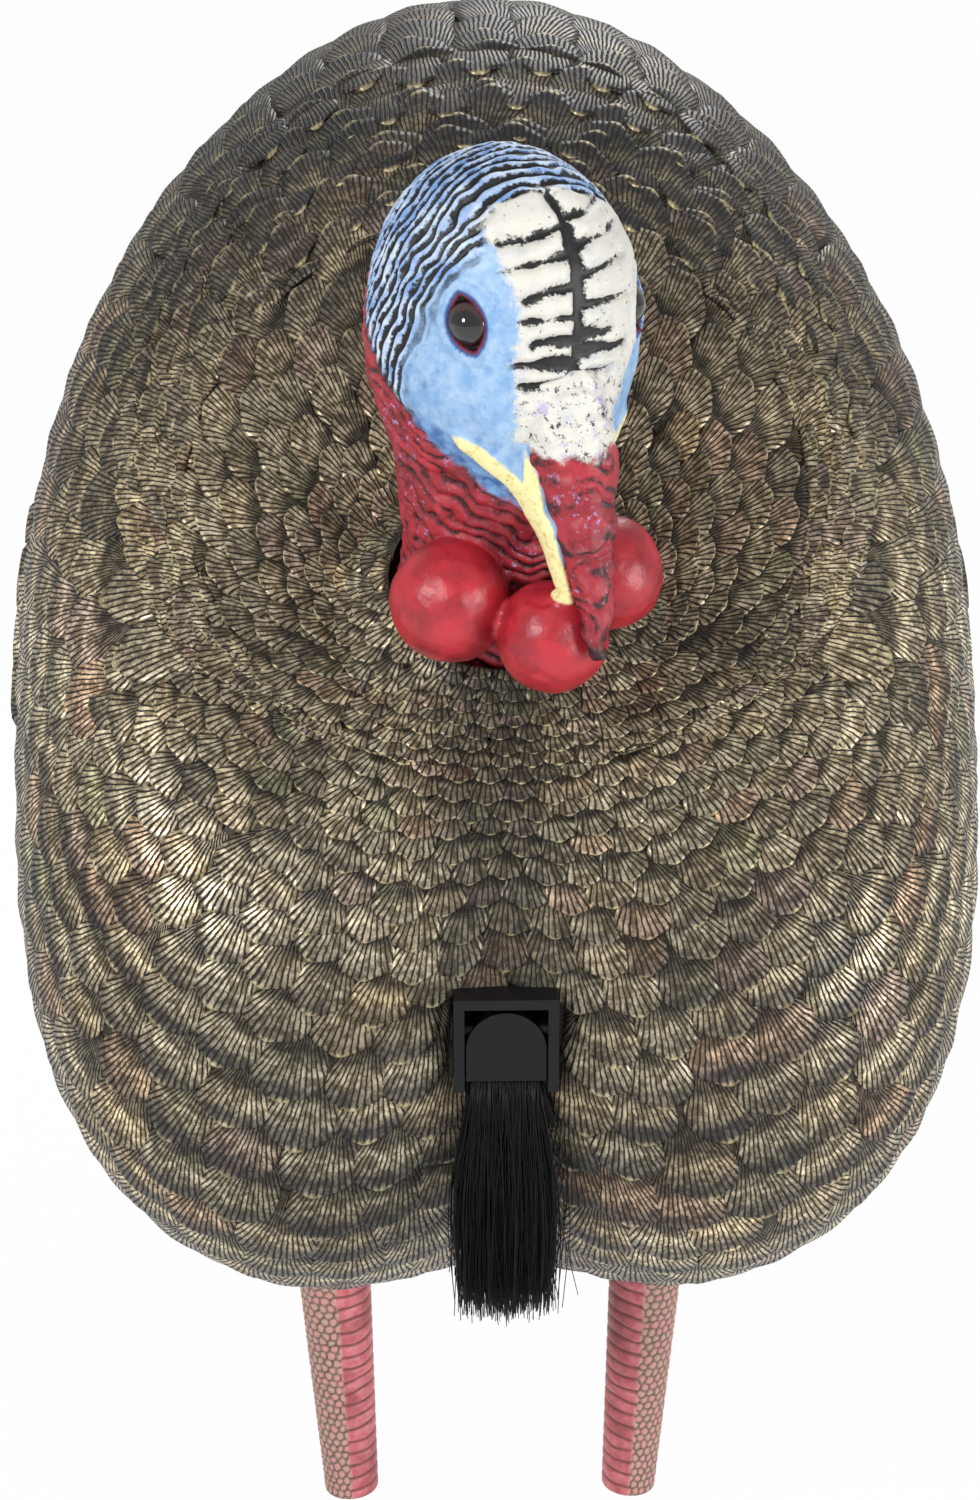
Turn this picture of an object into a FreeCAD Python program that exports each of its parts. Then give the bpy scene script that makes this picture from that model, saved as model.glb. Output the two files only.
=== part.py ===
import FreeCAD, Part
import math
import os

# Turkey decoy: a hollow moulded body with a plug-in head, two plug-in legs, a
# plug-in tail, a hanging beard, two wing panels and a socket for one ground stake.
# Millimetres. +Z up, the bird faces -Y, +X is the bird's left.
# The origin is the centre of the stake socket's mouth, under the belly.

# ---- body
body_length = 622.0        # breast to tail root
body_height = 477.0        # belly to the top of the back
body_width = 354.0         # flank to flank, without the wing panels
breast_reach = 272.0       # breast ahead of the stake socket
shell_wall = 2.4           # moulded skin
end_plate = 5.0            # flat plates that close the neck and tail ends
end_shares = [1.0, 0.8, 0.7, 0.4]   # of that plate, over the stations next to an end
boss_depth = 13.0          # flat seats moulded into the belly
breast_crease = 0.10       # depth of the groove down the breast, share of the radius

# Each station is a closed outline in a plane through its back point and its belly
# point. Columns: back point (y, z), belly point (y, z), half width, squareness of
# the upper and of the lower half, height of the widest line, depth of the crease.
# Places are shares of body_length, body_height and body_width.
body_stations = [
    ((0.212, 0.681), (0.116, 0.589), 0.107, 2.00, 2.0, 0.50, 0.0),
    ((0.251, 0.757), (0.056, 0.526), 0.243, 2.00, 2.0, 0.50, 0.3),
    ((0.315, 0.845), (0.018, 0.436), 0.362, 2.10, 2.5, 0.48, 0.7),
    ((0.408, 0.931), (0.002, 0.316), 0.446, 2.15, 2.9, 0.46, 1.0),
    ((0.521, 0.988), (0.027, 0.190), 0.494, 2.10, 3.2, 0.46, 1.0),
    ((0.633, 0.998), (0.107, 0.098), 0.500, 1.95, 3.2, 0.46, 0.7),
    ((0.743, 0.946), (0.248, 0.031), 0.491, 1.90, 2.9, 0.46, 0.4),
    ((0.833, 0.849), (0.437, 0.012), 0.460, 1.90, 2.5, 0.46, 0.2),
    ((0.894, 0.748), (0.654, 0.085), 0.398, 1.95, 2.2, 0.48, 0.0),
    ((0.939, 0.656), (0.849, 0.227), 0.274, 2.00, 2.0, 0.50, 0.0),
    ((0.995, 0.572), (0.974, 0.420), 0.166, 2.00, 2.0, 0.50, 0.0),
]
outline_points = 48        # points round each station

# ---- sockets and their screws
flange_thick = 4.0
screw_head_radius = 3.4
screw_head_height = 2.2
screw_radius = 1.75
screw_length = 9.0
screw_play = 0.3
slide_play = 0.3           # round a peg that slides or turns in its socket
seat_gap = 0.3             # between a plugged-in piece and its seat

# ---- neck socket and peg
neck_flange_radius = 34.0
neck_screw_circle = 29.5
neck_socket_wall = 4.0
neck_peg_radius = 19.0
neck_peg_bore = 14.0
neck_peg_depth = 60.0      # of the peg inside the body
neck_peg_height = 46.0     # of the peg inside the head
neck_key_width = 6.0
neck_key_height = 2.4
ring_groove = 1.8          # depth of the grooves for the rubber rings
ring_width = 3.2
ring_play = 0.15

# ---- stake socket
stake_bore_radius = 6.6    # takes a stake of 12.7 mm
stake_socket_depth = 170.0
stake_socket_wall = 3.6
stake_flange_radius = 27.0
stake_screw_circle = 19.0

# ---- legs
leg_spread = 142.8         # between the two leg axes at the belly
leg_set = -10.0            # legs ahead of the stake socket
leg_lean = 3.16            # degrees, inwards going down
leg_length = 162.0         # below the collar
leg_top_radius = 17.6
leg_foot_radius = 11.9
leg_bore_radius = 7.0
leg_bore_depth = 125.0
leg_peg_radius = 12.0
leg_peg_length = 36.0
leg_socket_wall = 3.5
leg_collar_radius = 22.0
leg_collar_thick = 4.0

# ---- tail
tail_length = 215.0
tail_root_half_width = 48.0
tail_tip_half_width = 84.0
tail_root_thick = 36.0
tail_tip_thick = 7.0
tail_arch = 12.0           # how far the edges hang below the middle
tail_plate = 4.0
tail_flange_half_width = 47.0
tail_flange_half_height = 32.0
tail_peg_radius = 12.0
tail_peg_length = 50.0
tail_socket_wall = 4.0
tail_screw_spread = 72.0

# ---- beard
beard_height = 184.0       # of the hinge pin above the origin
beard_stand = 8.3          # pin ahead of the skin in the breast groove
beard_bracket_back = 16.0  # from the pin to the back of the bracket's plug
beard_bracket_front = 5.0  # from the pin to the front of the bracket's cheeks
beard_bracket_height = 34.0
beard_cheek = 3.6          # walls beside and above the tab
beard_pin_radius = 2.0
beard_tab_play = 0.6
beard_tab_width = 27.0
beard_tab_height = 25.0
beard_tab_thick = 8.0
beard_tab_lift = 6.0       # pin above the centre of the tab's round top
beard_length = 92.0        # of the bristles below the tab
beard_top_width = 26.0
beard_wide_width = 35.0
beard_thick = 12.0

# ---- wings
wing_thick = 4.0
wing_gap = 0.3
wing_outline = [           # (y, z) round the folded wing, seen from the side
    (-96.0, 236.0), (-62.0, 288.0), (24.0, 326.0), (128.0, 328.0), (226.0, 296.0),
    (292.0, 248.0), (268.0, 200.0), (186.0, 158.0), (84.0, 134.0), (-8.0, 142.0),
    (-74.0, 178.0),
]
wing_stud_places = [(-30.0, 232.0), (90.0, 240.0), (200.0, 232.0)]
wing_stud_radius = 4.0
wing_stud_head_radius = 7.0
wing_stud_head = 2.5
wing_stud_bite = 2.8       # of the stud inside the wing panel

# ---- head, measured from the skull's centre: side, forward, up
head_turn_at_rest = 27.7   # degrees to the bird's left
skull_forward = 35.0       # of the skull's centre ahead of the neck opening
skull_up = 111.0
skull_radius = 46.0
skull_half_height = 56.0
head_wall = 6.0
neck_rings = [             # shift back and radius, from the neck's foot up
    (0.0, 36.0), (4.0, 33.0), (16.0, 36.0), (28.0, 41.0),
]
neck_ring_heights = [36.0, 72.0, 100.0]   # of the upper three over the neck opening
beak_root = (0.0, 30.0, -28.0)
beak_tip = (1.0, 46.0, -82.0)
beak_root_radius = 18.0
beak_tip_radius = 4.5
bulbs = [                  # centre and radius
    ((-26.0, 8.0, -92.0), 19.0),
    ((0.0, 37.0, -101.0), 16.5),
    ((29.0, 22.0, -87.0), 18.0),
]
eye_radius = 9.0
eye_angle = 45.0           # degrees from straight ahead
eye_up = 6.0
glue_gap = 0.3
eye_sink = 4.5             # of the eye's centre under the skull's surface
snood_root = (2.0, 44.0, -26.0)
snood_tip = (0.0, 56.0, -100.0)
snood_root_radius = 13.0
snood_tip_radius = 5.5

os.makedirs("parts", exist_ok=True)
X = FreeCAD.Vector(1, 0, 0)
Y = FreeCAD.Vector(0, 1, 0)
Z = FreeCAD.Vector(0, 0, 1)
zero = FreeCAD.Vector(0, 0, 0)


def save(name, shape):
    shape.exportStep("parts/" + name + ".step")
    print(name, len(shape.Solids), "solids", round(shape.Volume / 1000.0, 1), "cm3")


def frame(origin, along, across=X):
    """A placement whose Z runs along the given direction and whose X runs across."""
    z = FreeCAD.Vector(along)
    z.normalize()
    y = z.cross(across)
    y.normalize()
    x = y.cross(z)
    return FreeCAD.Placement(FreeCAD.Matrix(
        x.x, y.x, z.x, origin.x,
        x.y, y.y, z.y, origin.y,
        x.z, y.z, z.z, origin.z,
        0, 0, 0, 1))


def put(shape, placement):
    moved = shape.copy()
    moved.Placement = placement.multiply(shape.Placement)
    return moved


def rod(radius, low, high, centre=(0.0, 0.0)):
    return Part.makeCylinder(radius, high - low, FreeCAD.Vector(centre[0], centre[1], low), Z)


def block(size, centre):
    corner = FreeCAD.Vector(*[c - s / 2 for c, s in zip(centre, size)])
    return Part.makeBox(size[0], size[1], size[2], corner)


def join(shapes):
    shape = shapes[0].multiFuse(shapes[1:])
    return shape.removeSplitter()


def around(count, radius, start=0.0):
    steps = [math.radians(start + 360.0 * i / count) for i in range(count)]
    return [(radius * math.sin(a), radius * math.cos(a)) for a in steps]


def closed_curve(points):
    curve = Part.BSplineCurve()
    curve.interpolate(Points=points, PeriodicFlag=True)
    return Part.Wire([curve.toShape()])


def biggest(shape):
    return max(shape.Solids, key=lambda solid: solid.Volume)


# ---- the body's outer form
def body_point(share):
    return FreeCAD.Vector(0, share[0] * body_length - breast_reach, share[1] * body_height)


def station_ends(station, grow, shift):
    """Back and belly point of a station, grown outwards in its plane and shifted."""
    back = body_point(station[0])
    belly = body_point(station[1])
    up = (back - belly).normalize()
    out = X.cross(up)
    move = out * shift
    return back + up * grow + move, belly - up * grow + move


def station_wire(station, grow, shift):
    back, belly = station_ends(station, grow, shift)
    upper_power, lower_power, waist, crease = station[3:]
    up = back - belly
    height = up.Length
    up.normalize()
    centre = belly + up * (height * waist)
    half_width = station[2] * body_width + grow
    points = []
    for i in range(outline_points):
        angle = 2 * math.pi * i / outline_points
        upper = math.cos(angle) >= 0
        half_height = height * (1 - waist) if upper else height * waist
        power = upper_power if upper else lower_power
        across = abs(math.sin(angle)) / half_width
        along = abs(math.cos(angle)) / half_height
        radius = (across ** power + along ** power) ** (-1 / power)
        groove = breast_crease * crease * math.exp(-((angle - math.pi) / 0.17) ** 2)
        radius = radius * (1 - groove)
        points.append(centre + X * (radius * math.sin(angle)) + up * (radius * math.cos(angle)))
    return closed_curve(points)


def body_form(grow, inset=0.0):
    """The whole body as one solid; inset draws the two flat ends inwards."""
    shifts = [0.0] * len(body_stations)
    for i, share in enumerate(end_shares):
        shifts[i] = -inset * share
        shifts[-1 - i] = inset * share
    wires = [station_wire(station, grow, shift) for station, shift in zip(body_stations, shifts)]
    return Part.makeLoft(wires, True, False)


def skin_reach(form, start, direction, far=900.0):
    """How far along the line from start, which lies inside, the form's skin is."""
    inside = form.common(Part.makeLine(start, start + direction * far))
    return max((vertex.Point - start).dot(direction) for vertex in inside.Vertexes)


outer_form = body_form(0.0)
inner_form = body_form(-shell_wall, end_plate)

neck_back, neck_belly = station_ends(body_stations[0], 0.0, 0.0)
neck_centre = (neck_back + neck_belly) * 0.5
neck_axis = X.cross(neck_back - neck_belly).normalize()
neck_frame = frame(neck_centre, neck_axis)

tail_back, tail_belly = station_ends(body_stations[-1], 0.0, 0.0)
tail_centre = (tail_back + tail_belly) * 0.5
tail_axis = (tail_back - tail_belly).cross(X).normalize()
tail_frame = frame(tail_centre, tail_axis)

stake_seat = FreeCAD.Vector(0, 0, flange_thick)
stake_frame = frame(stake_seat, Z * -1.0)


def leg_frame(side):
    lean = math.radians(leg_lean)
    down = FreeCAD.Vector(-side * math.sin(lean), 0, -math.cos(lean))
    return frame(FreeCAD.Vector(side * leg_spread / 2, leg_set, flange_thick), down)


leg_frames = {"left": leg_frame(1.0), "right": leg_frame(-1.0)}

beard_inside = FreeCAD.Vector(0, 0, beard_height)
breast_reach_at_pin = skin_reach(outer_form, beard_inside, Y * -1.0)
beard_pin_centre = FreeCAD.Vector(0, -beard_stand - breast_reach_at_pin, beard_height)
beard_frame = FreeCAD.Placement(beard_pin_centre, FreeCAD.Rotation())
beard_tab_top = beard_tab_width / 2 - beard_tab_lift
beard_swing_room = math.hypot(beard_tab_top, beard_tab_thick / 2) + beard_tab_play


# ---- screws and sockets, each modelled with its seat at z = 0 and its mouth upwards
def screw(place):
    head = rod(screw_head_radius, 0.0, screw_head_height, place)
    shank = rod(screw_radius, -screw_length, 0.0, place)
    return join([head, shank]).translated(Z * (flange_thick - screw_head_height - screw_play))


def screw_holes(places):
    radius = screw_radius + screw_play
    return [rod(radius, -2 * screw_length, flange_thick, place) for place in places]


def screw_recesses(places):
    low = flange_thick - screw_head_height - screw_play
    return [rod(screw_head_radius + screw_play, low, 2 * flange_thick, place) for place in places]


def flanged_socket(flange, tube_radius, bore_radius, depth, wall, places):
    """A flange on the seat with a blind tube behind it."""
    tube = rod(tube_radius, -depth - wall, flange_thick)
    bore = rod(bore_radius, -depth, 2 * flange_thick)
    shape = join([flange, tube]).cut(bore)
    for cutter in screw_holes(places) + screw_recesses(places):
        shape = shape.cut(cutter)
    return shape


def ring_cutter(radius, middle):
    low = middle - ring_width / 2
    return rod(radius + 1.0, low, low + ring_width).cut(rod(radius - ring_groove, low, low + ring_width))


def rubber_ring(radius, middle):
    low = middle - ring_width / 2 + ring_play
    high = middle + ring_width / 2 - ring_play
    return rod(radius, low, high).cut(rod(radius - ring_groove + ring_play, low, high))


def ellipse_plate(half_width, half_height, low, high):
    outline = Part.Ellipse(zero, half_width, half_height)
    face = Part.Face(Part.Wire([outline.toShape()]))
    return face.extrude(Z * (high - low)).translated(Z * low)


neck_places = around(3, neck_screw_circle, 60.0)
stake_places = around(3, stake_screw_circle, 30.0)
tail_places = [(-tail_screw_spread / 2, 0.0), (tail_screw_spread / 2, 0.0)]

neck_bore_radius = neck_peg_radius + slide_play
neck_tube_radius = neck_bore_radius + neck_socket_wall
stake_tube_radius = stake_bore_radius + stake_socket_wall
leg_bore_in_socket = leg_peg_radius + slide_play
leg_tube_radius = leg_bore_in_socket + leg_socket_wall
tail_bore_radius = tail_peg_radius + slide_play
tail_tube_radius = tail_bore_radius + tail_socket_wall


# ---- body pieces
def make_neck_socket():
    flange = rod(neck_flange_radius, 0.0, flange_thick)
    depth = neck_peg_depth + seat_gap
    shape = flanged_socket(flange, neck_tube_radius, neck_bore_radius, depth,
                           neck_socket_wall, neck_places)
    reach = neck_peg_radius + neck_key_height + slide_play
    width = neck_key_width + 2 * slide_play
    height = neck_peg_depth * 0.7 + flange_thick
    keyway = block((width, reach, height), (0, reach / 2, flange_thick - height / 2))
    return put(shape.cut(keyway), neck_frame)


def make_stake_socket():
    flange = rod(stake_flange_radius, 0.0, flange_thick)
    depth = stake_socket_depth - flange_thick
    shape = flanged_socket(flange, stake_tube_radius, stake_bore_radius, depth,
                           stake_socket_wall, stake_places)
    return put(shape, stake_frame)


def make_tail_socket():
    flange = ellipse_plate(tail_flange_half_width, tail_flange_half_height, 0.0, flange_thick)
    depth = tail_peg_length + seat_gap
    shape = flanged_socket(flange, tail_tube_radius, tail_bore_radius, depth,
                           tail_socket_wall, tail_places)
    return put(shape, tail_frame)


def make_leg_socket(side):
    collar = rod(leg_collar_radius, 0.0, leg_collar_thick)
    tube = rod(leg_tube_radius, -leg_peg_length - seat_gap - leg_socket_wall, leg_collar_thick)
    bore = rod(leg_bore_in_socket, -leg_peg_length - seat_gap, 2 * leg_collar_thick)
    return put(join([collar, tube]).cut(bore), leg_frames[side])


def make_socket_screws():
    shapes = [put(screw(place), neck_frame) for place in neck_places]
    shapes += [put(screw(place), stake_frame) for place in stake_places]
    shapes += [put(screw(place), tail_frame) for place in tail_places]
    return Part.makeCompound(shapes)


def beard_block(grow):
    width = beard_tab_width + 2 * (beard_tab_play + beard_cheek + grow)
    depth = beard_bracket_back + beard_bracket_front
    top = beard_swing_room + beard_cheek
    centre = (0.0, (beard_bracket_back - beard_bracket_front) / 2, top - beard_bracket_height / 2)
    return block((width, depth, beard_bracket_height + 2 * grow), centre)


def make_beard_bracket():
    """A plug in the skin with two cheeks and a roof; the tab hangs between the cheeks."""
    depth = beard_swing_room + beard_bracket_front
    height = 2 * beard_bracket_height
    pocket = block((beard_tab_width + 2 * beard_tab_play, depth, height),
                   (0.0, beard_swing_room - depth / 2, beard_swing_room - height / 2))
    bracket = beard_block(0.0).cut(pocket)
    return put(bracket.cut(beard_pin_shape()), beard_frame)


def beard_pin_shape():
    length = beard_tab_width + 2 * (beard_tab_play + beard_cheek)
    return Part.makeCylinder(beard_pin_radius, length, X * (-length / 2), X)


def make_beard_pin():
    return put(beard_pin_shape(), beard_frame)


def wing_prism(side):
    points = [FreeCAD.Vector(0, y, z) for y, z in wing_outline]
    face = Part.Face(closed_curve(points))
    return face.extrude(X * (side * body_width))


def make_wing(side):
    panel = body_form(wing_gap + wing_thick).common(wing_prism(side)).cut(wing_core)
    panel = biggest(panel)
    for stud in wing_studs(side):
        panel = panel.cut(stud)
    return panel


def wing_studs(side, play=0.0):
    shapes = []
    for y, z in wing_stud_places:
        inside = FreeCAD.Vector(0, y, z)
        skin = skin_reach(outer_form, inside, X * side)
        inner_skin = skin_reach(inner_form, inside, X * side)
        shank_start = inner_skin - 3.0 * wing_stud_head
        shank = Part.makeCylinder(wing_stud_radius + play, skin + wing_stud_bite - shank_start,
                                  inside + X * (side * shank_start), X * side)
        head = Part.makeCylinder(wing_stud_head_radius, wing_stud_head,
                                 inside + X * (side * shank_start), X * side)
        shapes.append(shank if play else join([shank, head]))
    return shapes


def make_body_shell():
    bosses = [put(rod(stake_flange_radius + 4.0, -boss_depth, 0.0), stake_frame)]
    for placement in leg_frames.values():
        bosses.append(put(rod(leg_collar_radius + 3.0, -boss_depth, 0.0), placement))
    shell = outer_form.cut(inner_form)
    shell = shell.multiFuse(bosses)
    cutters = [
        put(rod(neck_tube_radius + seat_gap, -4 * end_plate, end_plate), neck_frame),
        put(rod(tail_tube_radius + seat_gap, -4 * end_plate, end_plate), tail_frame),
        put(rod(stake_tube_radius + seat_gap, -2 * boss_depth, boss_depth), stake_frame),
        put(beard_block(seat_gap), beard_frame),
    ]
    for placement in leg_frames.values():
        cutters.append(put(rod(leg_tube_radius + seat_gap, -2 * boss_depth, boss_depth), placement))
    for places, placement in ((neck_places, neck_frame), (stake_places, stake_frame),
                              (tail_places, tail_frame)):
        cutters += [put(hole, placement) for hole in screw_holes(places)]
    for side in (1.0, -1.0):
        cutters += wing_studs(side, slide_play)
    for cutter in cutters:
        shell = shell.cut(cutter)
    return biggest(shell)


# ---- neck peg and head
def make_neck_peg():
    shape = rod(neck_peg_radius, -neck_peg_depth, flange_thick + neck_peg_height)
    reach = neck_peg_radius + neck_key_height
    low = -neck_peg_depth * 0.6
    key = block((neck_key_width, reach, -low), (0, reach / 2, low / 2))
    shape = join([shape, key]).cut(rod(neck_peg_bore, -2 * neck_peg_depth, 2 * neck_peg_depth))
    return put(shape.cut(ring_cutter(neck_peg_radius, neck_ring_middle)), neck_frame)


def make_neck_peg_ring():
    return put(rubber_ring(neck_peg_radius, neck_ring_middle), neck_frame)


neck_ring_middle = -neck_peg_depth * 0.85
skull_centre = neck_centre + FreeCAD.Vector(0, -skull_forward, skull_up)
turn = math.radians(head_turn_at_rest)
side_axis = FreeCAD.Vector(math.cos(turn), math.sin(turn), 0)
forward_axis = FreeCAD.Vector(math.sin(turn), -math.cos(turn), 0)


def on_head(place):
    return skull_centre + side_axis * place[0] + forward_axis * place[1] + Z * place[2]


def skull_form(inset):
    """An egg of revolution round the upright through the skull's centre, its seam behind."""
    high = skull_half_height - inset
    wide = skull_radius - inset
    ellipse = Part.Ellipse(Z * high, Y * wide, zero)
    arc = Part.ArcOfEllipse(ellipse, 0.0, math.pi).toShape()
    chord = Part.makeLine(Z * -high, Z * high)
    egg = Part.Face(Part.Wire([arc, chord])).revolve(zero, Z, 360.0)
    return egg.translated(skull_centre)


def head_cone(start, end, start_radius, end_radius):
    low = on_head(start)
    along = on_head(end) - low
    cone = Part.makeCone(start_radius, end_radius, along.Length, low, along)
    tip = Part.makeSphere(end_radius, low + along)
    return join([cone, tip])


def neck_form():
    heights = [flange_thick + seat_gap] + neck_ring_heights
    wires = []
    for (back, radius), height in zip(neck_rings, heights):
        circle = Part.Circle(FreeCAD.Vector(0, back, height), Z, radius)
        wires.append(Part.Wire([circle.toShape()]))
    return put(Part.makeLoft(wires, True, False), neck_frame)


def head_cavity():
    bore_top = flange_thick + neck_peg_height + 6.0
    bore = put(rod(neck_bore_radius, -1.0, bore_top), neck_frame)
    low = neck_centre + neck_axis * (bore_top - 8.0)
    along = skull_centre - low
    channel = Part.makeCylinder(neck_peg_bore - 2.0, along.Length, low, along)
    return [bore, channel, skull_form(head_wall)]


def eye_place(side):
    angle = math.radians(eye_angle)
    reach = skull_radius * math.sqrt(1 - (eye_up / skull_half_height) ** 2) - eye_sink
    return (side * reach * math.sin(angle), reach * math.cos(angle), eye_up)


def make_head():
    pieces = [neck_form(), skull_form(0.0)]
    pieces.append(head_cone(beak_root, beak_tip, beak_root_radius, beak_tip_radius))
    pieces += [Part.makeSphere(radius, on_head(place)) for place, radius in bulbs]
    shape = pieces[0].multiFuse(pieces[1:])
    for cutter in head_cavity():
        shape = shape.cut(cutter)
    return biggest(shape)


def make_eye(side):
    """The part of the eyeball that stands out of the head, glued on."""
    ball = Part.makeSphere(eye_radius, on_head(eye_place(side)))
    return biggest(ball.cut(skull_form(-glue_gap)))


def make_snood():
    raw = head_cone(snood_root, snood_tip, snood_root_radius, snood_tip_radius)
    return biggest(raw.cut(head))


# ---- beard
def make_beard_ferrule():
    half = beard_tab_width / 2
    top = Part.makeCylinder(half, beard_tab_thick, Y * (-beard_tab_thick / 2), Y)
    drop = beard_tab_height - half
    plate = block((beard_tab_width, beard_tab_thick, drop), (0, 0, -drop / 2))
    upper_half = block((beard_tab_width, beard_tab_thick, half), (0, 0, half / 2))
    shape = join([top.common(upper_half), plate]).translated(Z * -beard_tab_lift)
    hole = Part.makeCylinder(beard_pin_radius + slide_play, 2 * beard_tab_width,
                             X * -beard_tab_width, X)
    return put(shape.cut(hole), beard_frame)


def make_beard_bristles():
    top = beard_tab_top - beard_tab_height
    levels = [
        (top, beard_top_width, beard_tab_thick),
        (top - beard_length * 0.30, beard_wide_width * 0.92, beard_thick),
        (top - beard_length * 0.70, beard_wide_width, beard_thick),
        (top - beard_length, beard_top_width, beard_thick * 0.7),
    ]
    wires = []
    for height, width, thick in levels:
        outline = Part.Ellipse(FreeCAD.Vector(0, 0, height), width / 2, thick / 2)
        wires.append(Part.Wire([outline.toShape()]))
    return put(Part.makeLoft(wires, True, False), beard_frame)


# ---- legs
def make_leg(side):
    start = leg_collar_thick + seat_gap
    cone = Part.makeCone(leg_top_radius, leg_foot_radius, leg_length, Z * start, Z)
    peg = rod(leg_peg_radius, -leg_peg_length, start)
    end = start + leg_length
    shape = join([cone, peg]).cut(rod(leg_bore_radius, end - leg_bore_depth, end + 1.0))
    return put(shape.cut(ring_cutter(leg_peg_radius, leg_ring_middle)), leg_frames[side])


def make_leg_ring(side):
    return put(rubber_ring(leg_peg_radius, leg_ring_middle), leg_frames[side])


leg_ring_middle = -leg_peg_length * 0.6


# ---- tail
def make_tail_peg():
    low = flange_thick + seat_gap
    plate = ellipse_plate(tail_flange_half_width, tail_flange_half_height, low, low + tail_plate)
    shape = join([plate, rod(tail_peg_radius, -tail_peg_length, low + tail_plate)])
    return put(shape.cut(ring_cutter(tail_peg_radius, tail_ring_middle)), tail_frame)


def make_tail_ring():
    return put(rubber_ring(tail_peg_radius, tail_ring_middle), tail_frame)


def tail_section(height, half_width, half_thick, arch):
    points = []
    for i in range(outline_points):
        angle = 2 * math.pi * i / outline_points
        across = math.cos(angle)
        thick = half_thick * math.sin(angle) - arch * across * across
        points.append(FreeCAD.Vector(half_width * across, -thick, height))
    return closed_curve(points)


def make_tail_feathers():
    root = flange_thick + seat_gap + tail_plate
    root_half, tip_half = tail_root_thick / 2, tail_tip_thick / 2
    spread = tail_tip_half_width - tail_root_half_width
    wires = []
    for share, open_share, thin_share in ((0, 0, 0), (0.3, 0.35, 0.5), (0.7, 0.8, 0.85), (1, 1, 1)):
        half_width = tail_root_half_width + spread * open_share
        half_thick = root_half + (tip_half - root_half) * thin_share
        wires.append(tail_section(root + tail_length * share, half_width, half_thick,
                                  tail_arch * open_share))
    return put(Part.makeLoft(wires, True, False), tail_frame)


tail_ring_middle = -tail_peg_length * 0.7
wing_core = body_form(wing_gap)
head = make_head()

save("body_shell", make_body_shell())
save("neck_socket", make_neck_socket())
save("stake_socket", make_stake_socket())
save("tail_socket", make_tail_socket())
save("socket_screws", make_socket_screws())
save("beard_bracket", make_beard_bracket())
save("beard_pin", make_beard_pin())
save("wing_studs", Part.makeCompound(wing_studs(1.0) + wing_studs(-1.0)))
save("left_wing", make_wing(1.0))
save("right_wing", make_wing(-1.0))
for side_name in ("left", "right"):
    save(side_name + "_leg_socket", make_leg_socket(side_name))
    save(side_name + "_leg", make_leg(side_name))
    save(side_name + "_leg_ring", make_leg_ring(side_name))
save("neck_peg", make_neck_peg())
save("neck_peg_ring", make_neck_peg_ring())
save("head", head)
save("left_eye", make_eye(1.0))
save("right_eye", make_eye(-1.0))
save("snood", make_snood())
save("beard_ferrule", make_beard_ferrule())
save("beard_bristles", make_beard_bristles())
save("tail_peg", make_tail_peg())
save("tail_ring", make_tail_ring())
save("tail_feathers", make_tail_feathers())
print("neck opening", neck_centre, neck_axis)
print("tail opening", tail_centre, tail_axis)
print("beard pin", beard_pin_centre)
print("skull centre", skull_centre)
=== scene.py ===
import math
import bmesh
import bpy
import numpy as np
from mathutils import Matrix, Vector
from mathutils.bvhtree import BVHTree


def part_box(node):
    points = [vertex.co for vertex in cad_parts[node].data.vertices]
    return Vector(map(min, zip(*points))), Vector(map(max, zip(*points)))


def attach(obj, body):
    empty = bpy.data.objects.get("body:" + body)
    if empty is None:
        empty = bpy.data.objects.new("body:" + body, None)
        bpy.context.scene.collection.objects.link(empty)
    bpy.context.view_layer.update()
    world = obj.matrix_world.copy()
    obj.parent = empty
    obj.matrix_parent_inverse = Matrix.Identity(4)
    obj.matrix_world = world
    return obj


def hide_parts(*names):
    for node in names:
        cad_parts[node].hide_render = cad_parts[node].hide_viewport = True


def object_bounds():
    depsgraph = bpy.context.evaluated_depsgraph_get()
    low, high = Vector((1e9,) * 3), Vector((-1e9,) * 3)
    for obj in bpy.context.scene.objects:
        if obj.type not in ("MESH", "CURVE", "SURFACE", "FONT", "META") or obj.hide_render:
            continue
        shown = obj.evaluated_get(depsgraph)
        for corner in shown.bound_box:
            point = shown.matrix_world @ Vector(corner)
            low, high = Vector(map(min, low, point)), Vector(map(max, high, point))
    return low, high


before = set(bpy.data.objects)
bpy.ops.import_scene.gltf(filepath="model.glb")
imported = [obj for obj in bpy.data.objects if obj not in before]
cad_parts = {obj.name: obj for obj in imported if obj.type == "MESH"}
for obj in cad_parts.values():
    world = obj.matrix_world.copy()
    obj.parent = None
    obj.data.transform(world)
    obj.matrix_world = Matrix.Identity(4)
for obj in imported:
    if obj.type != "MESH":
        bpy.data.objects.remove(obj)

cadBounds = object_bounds()
mm = 0.001


def say(stage):
    print("turkey decoy:", stage, flush=True)


# small tools
def colour(hexText):
    parts = [int(hexText[i:i + 2], 16) / 255 for i in (1, 3, 5)]
    linear = [c / 12.92 if c <= 0.04045 else ((c + 0.055) / 1.055) ** 2.4 for c in parts]
    return (*linear, 1.0)


# Adds a node; numbers and colours in links go on its sockets, sockets are wired.
def addNode(tree, kind, links=None, **settings):
    node = tree.nodes.new("ShaderNode" + kind)
    for name, value in settings.items():
        setattr(node, name, value)
    for name, value in (links or {}).items():
        socket = node.inputs[name]
        if isinstance(value, bpy.types.NodeSocket):
            tree.links.new(value, socket)
        else:
            socket.default_value = value
    return node


def newMaterial(name):
    material = bpy.data.materials.new(name)
    material.use_nodes = True
    tree = material.node_tree
    return material, tree, tree.nodes["Principled BSDF"]


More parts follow.
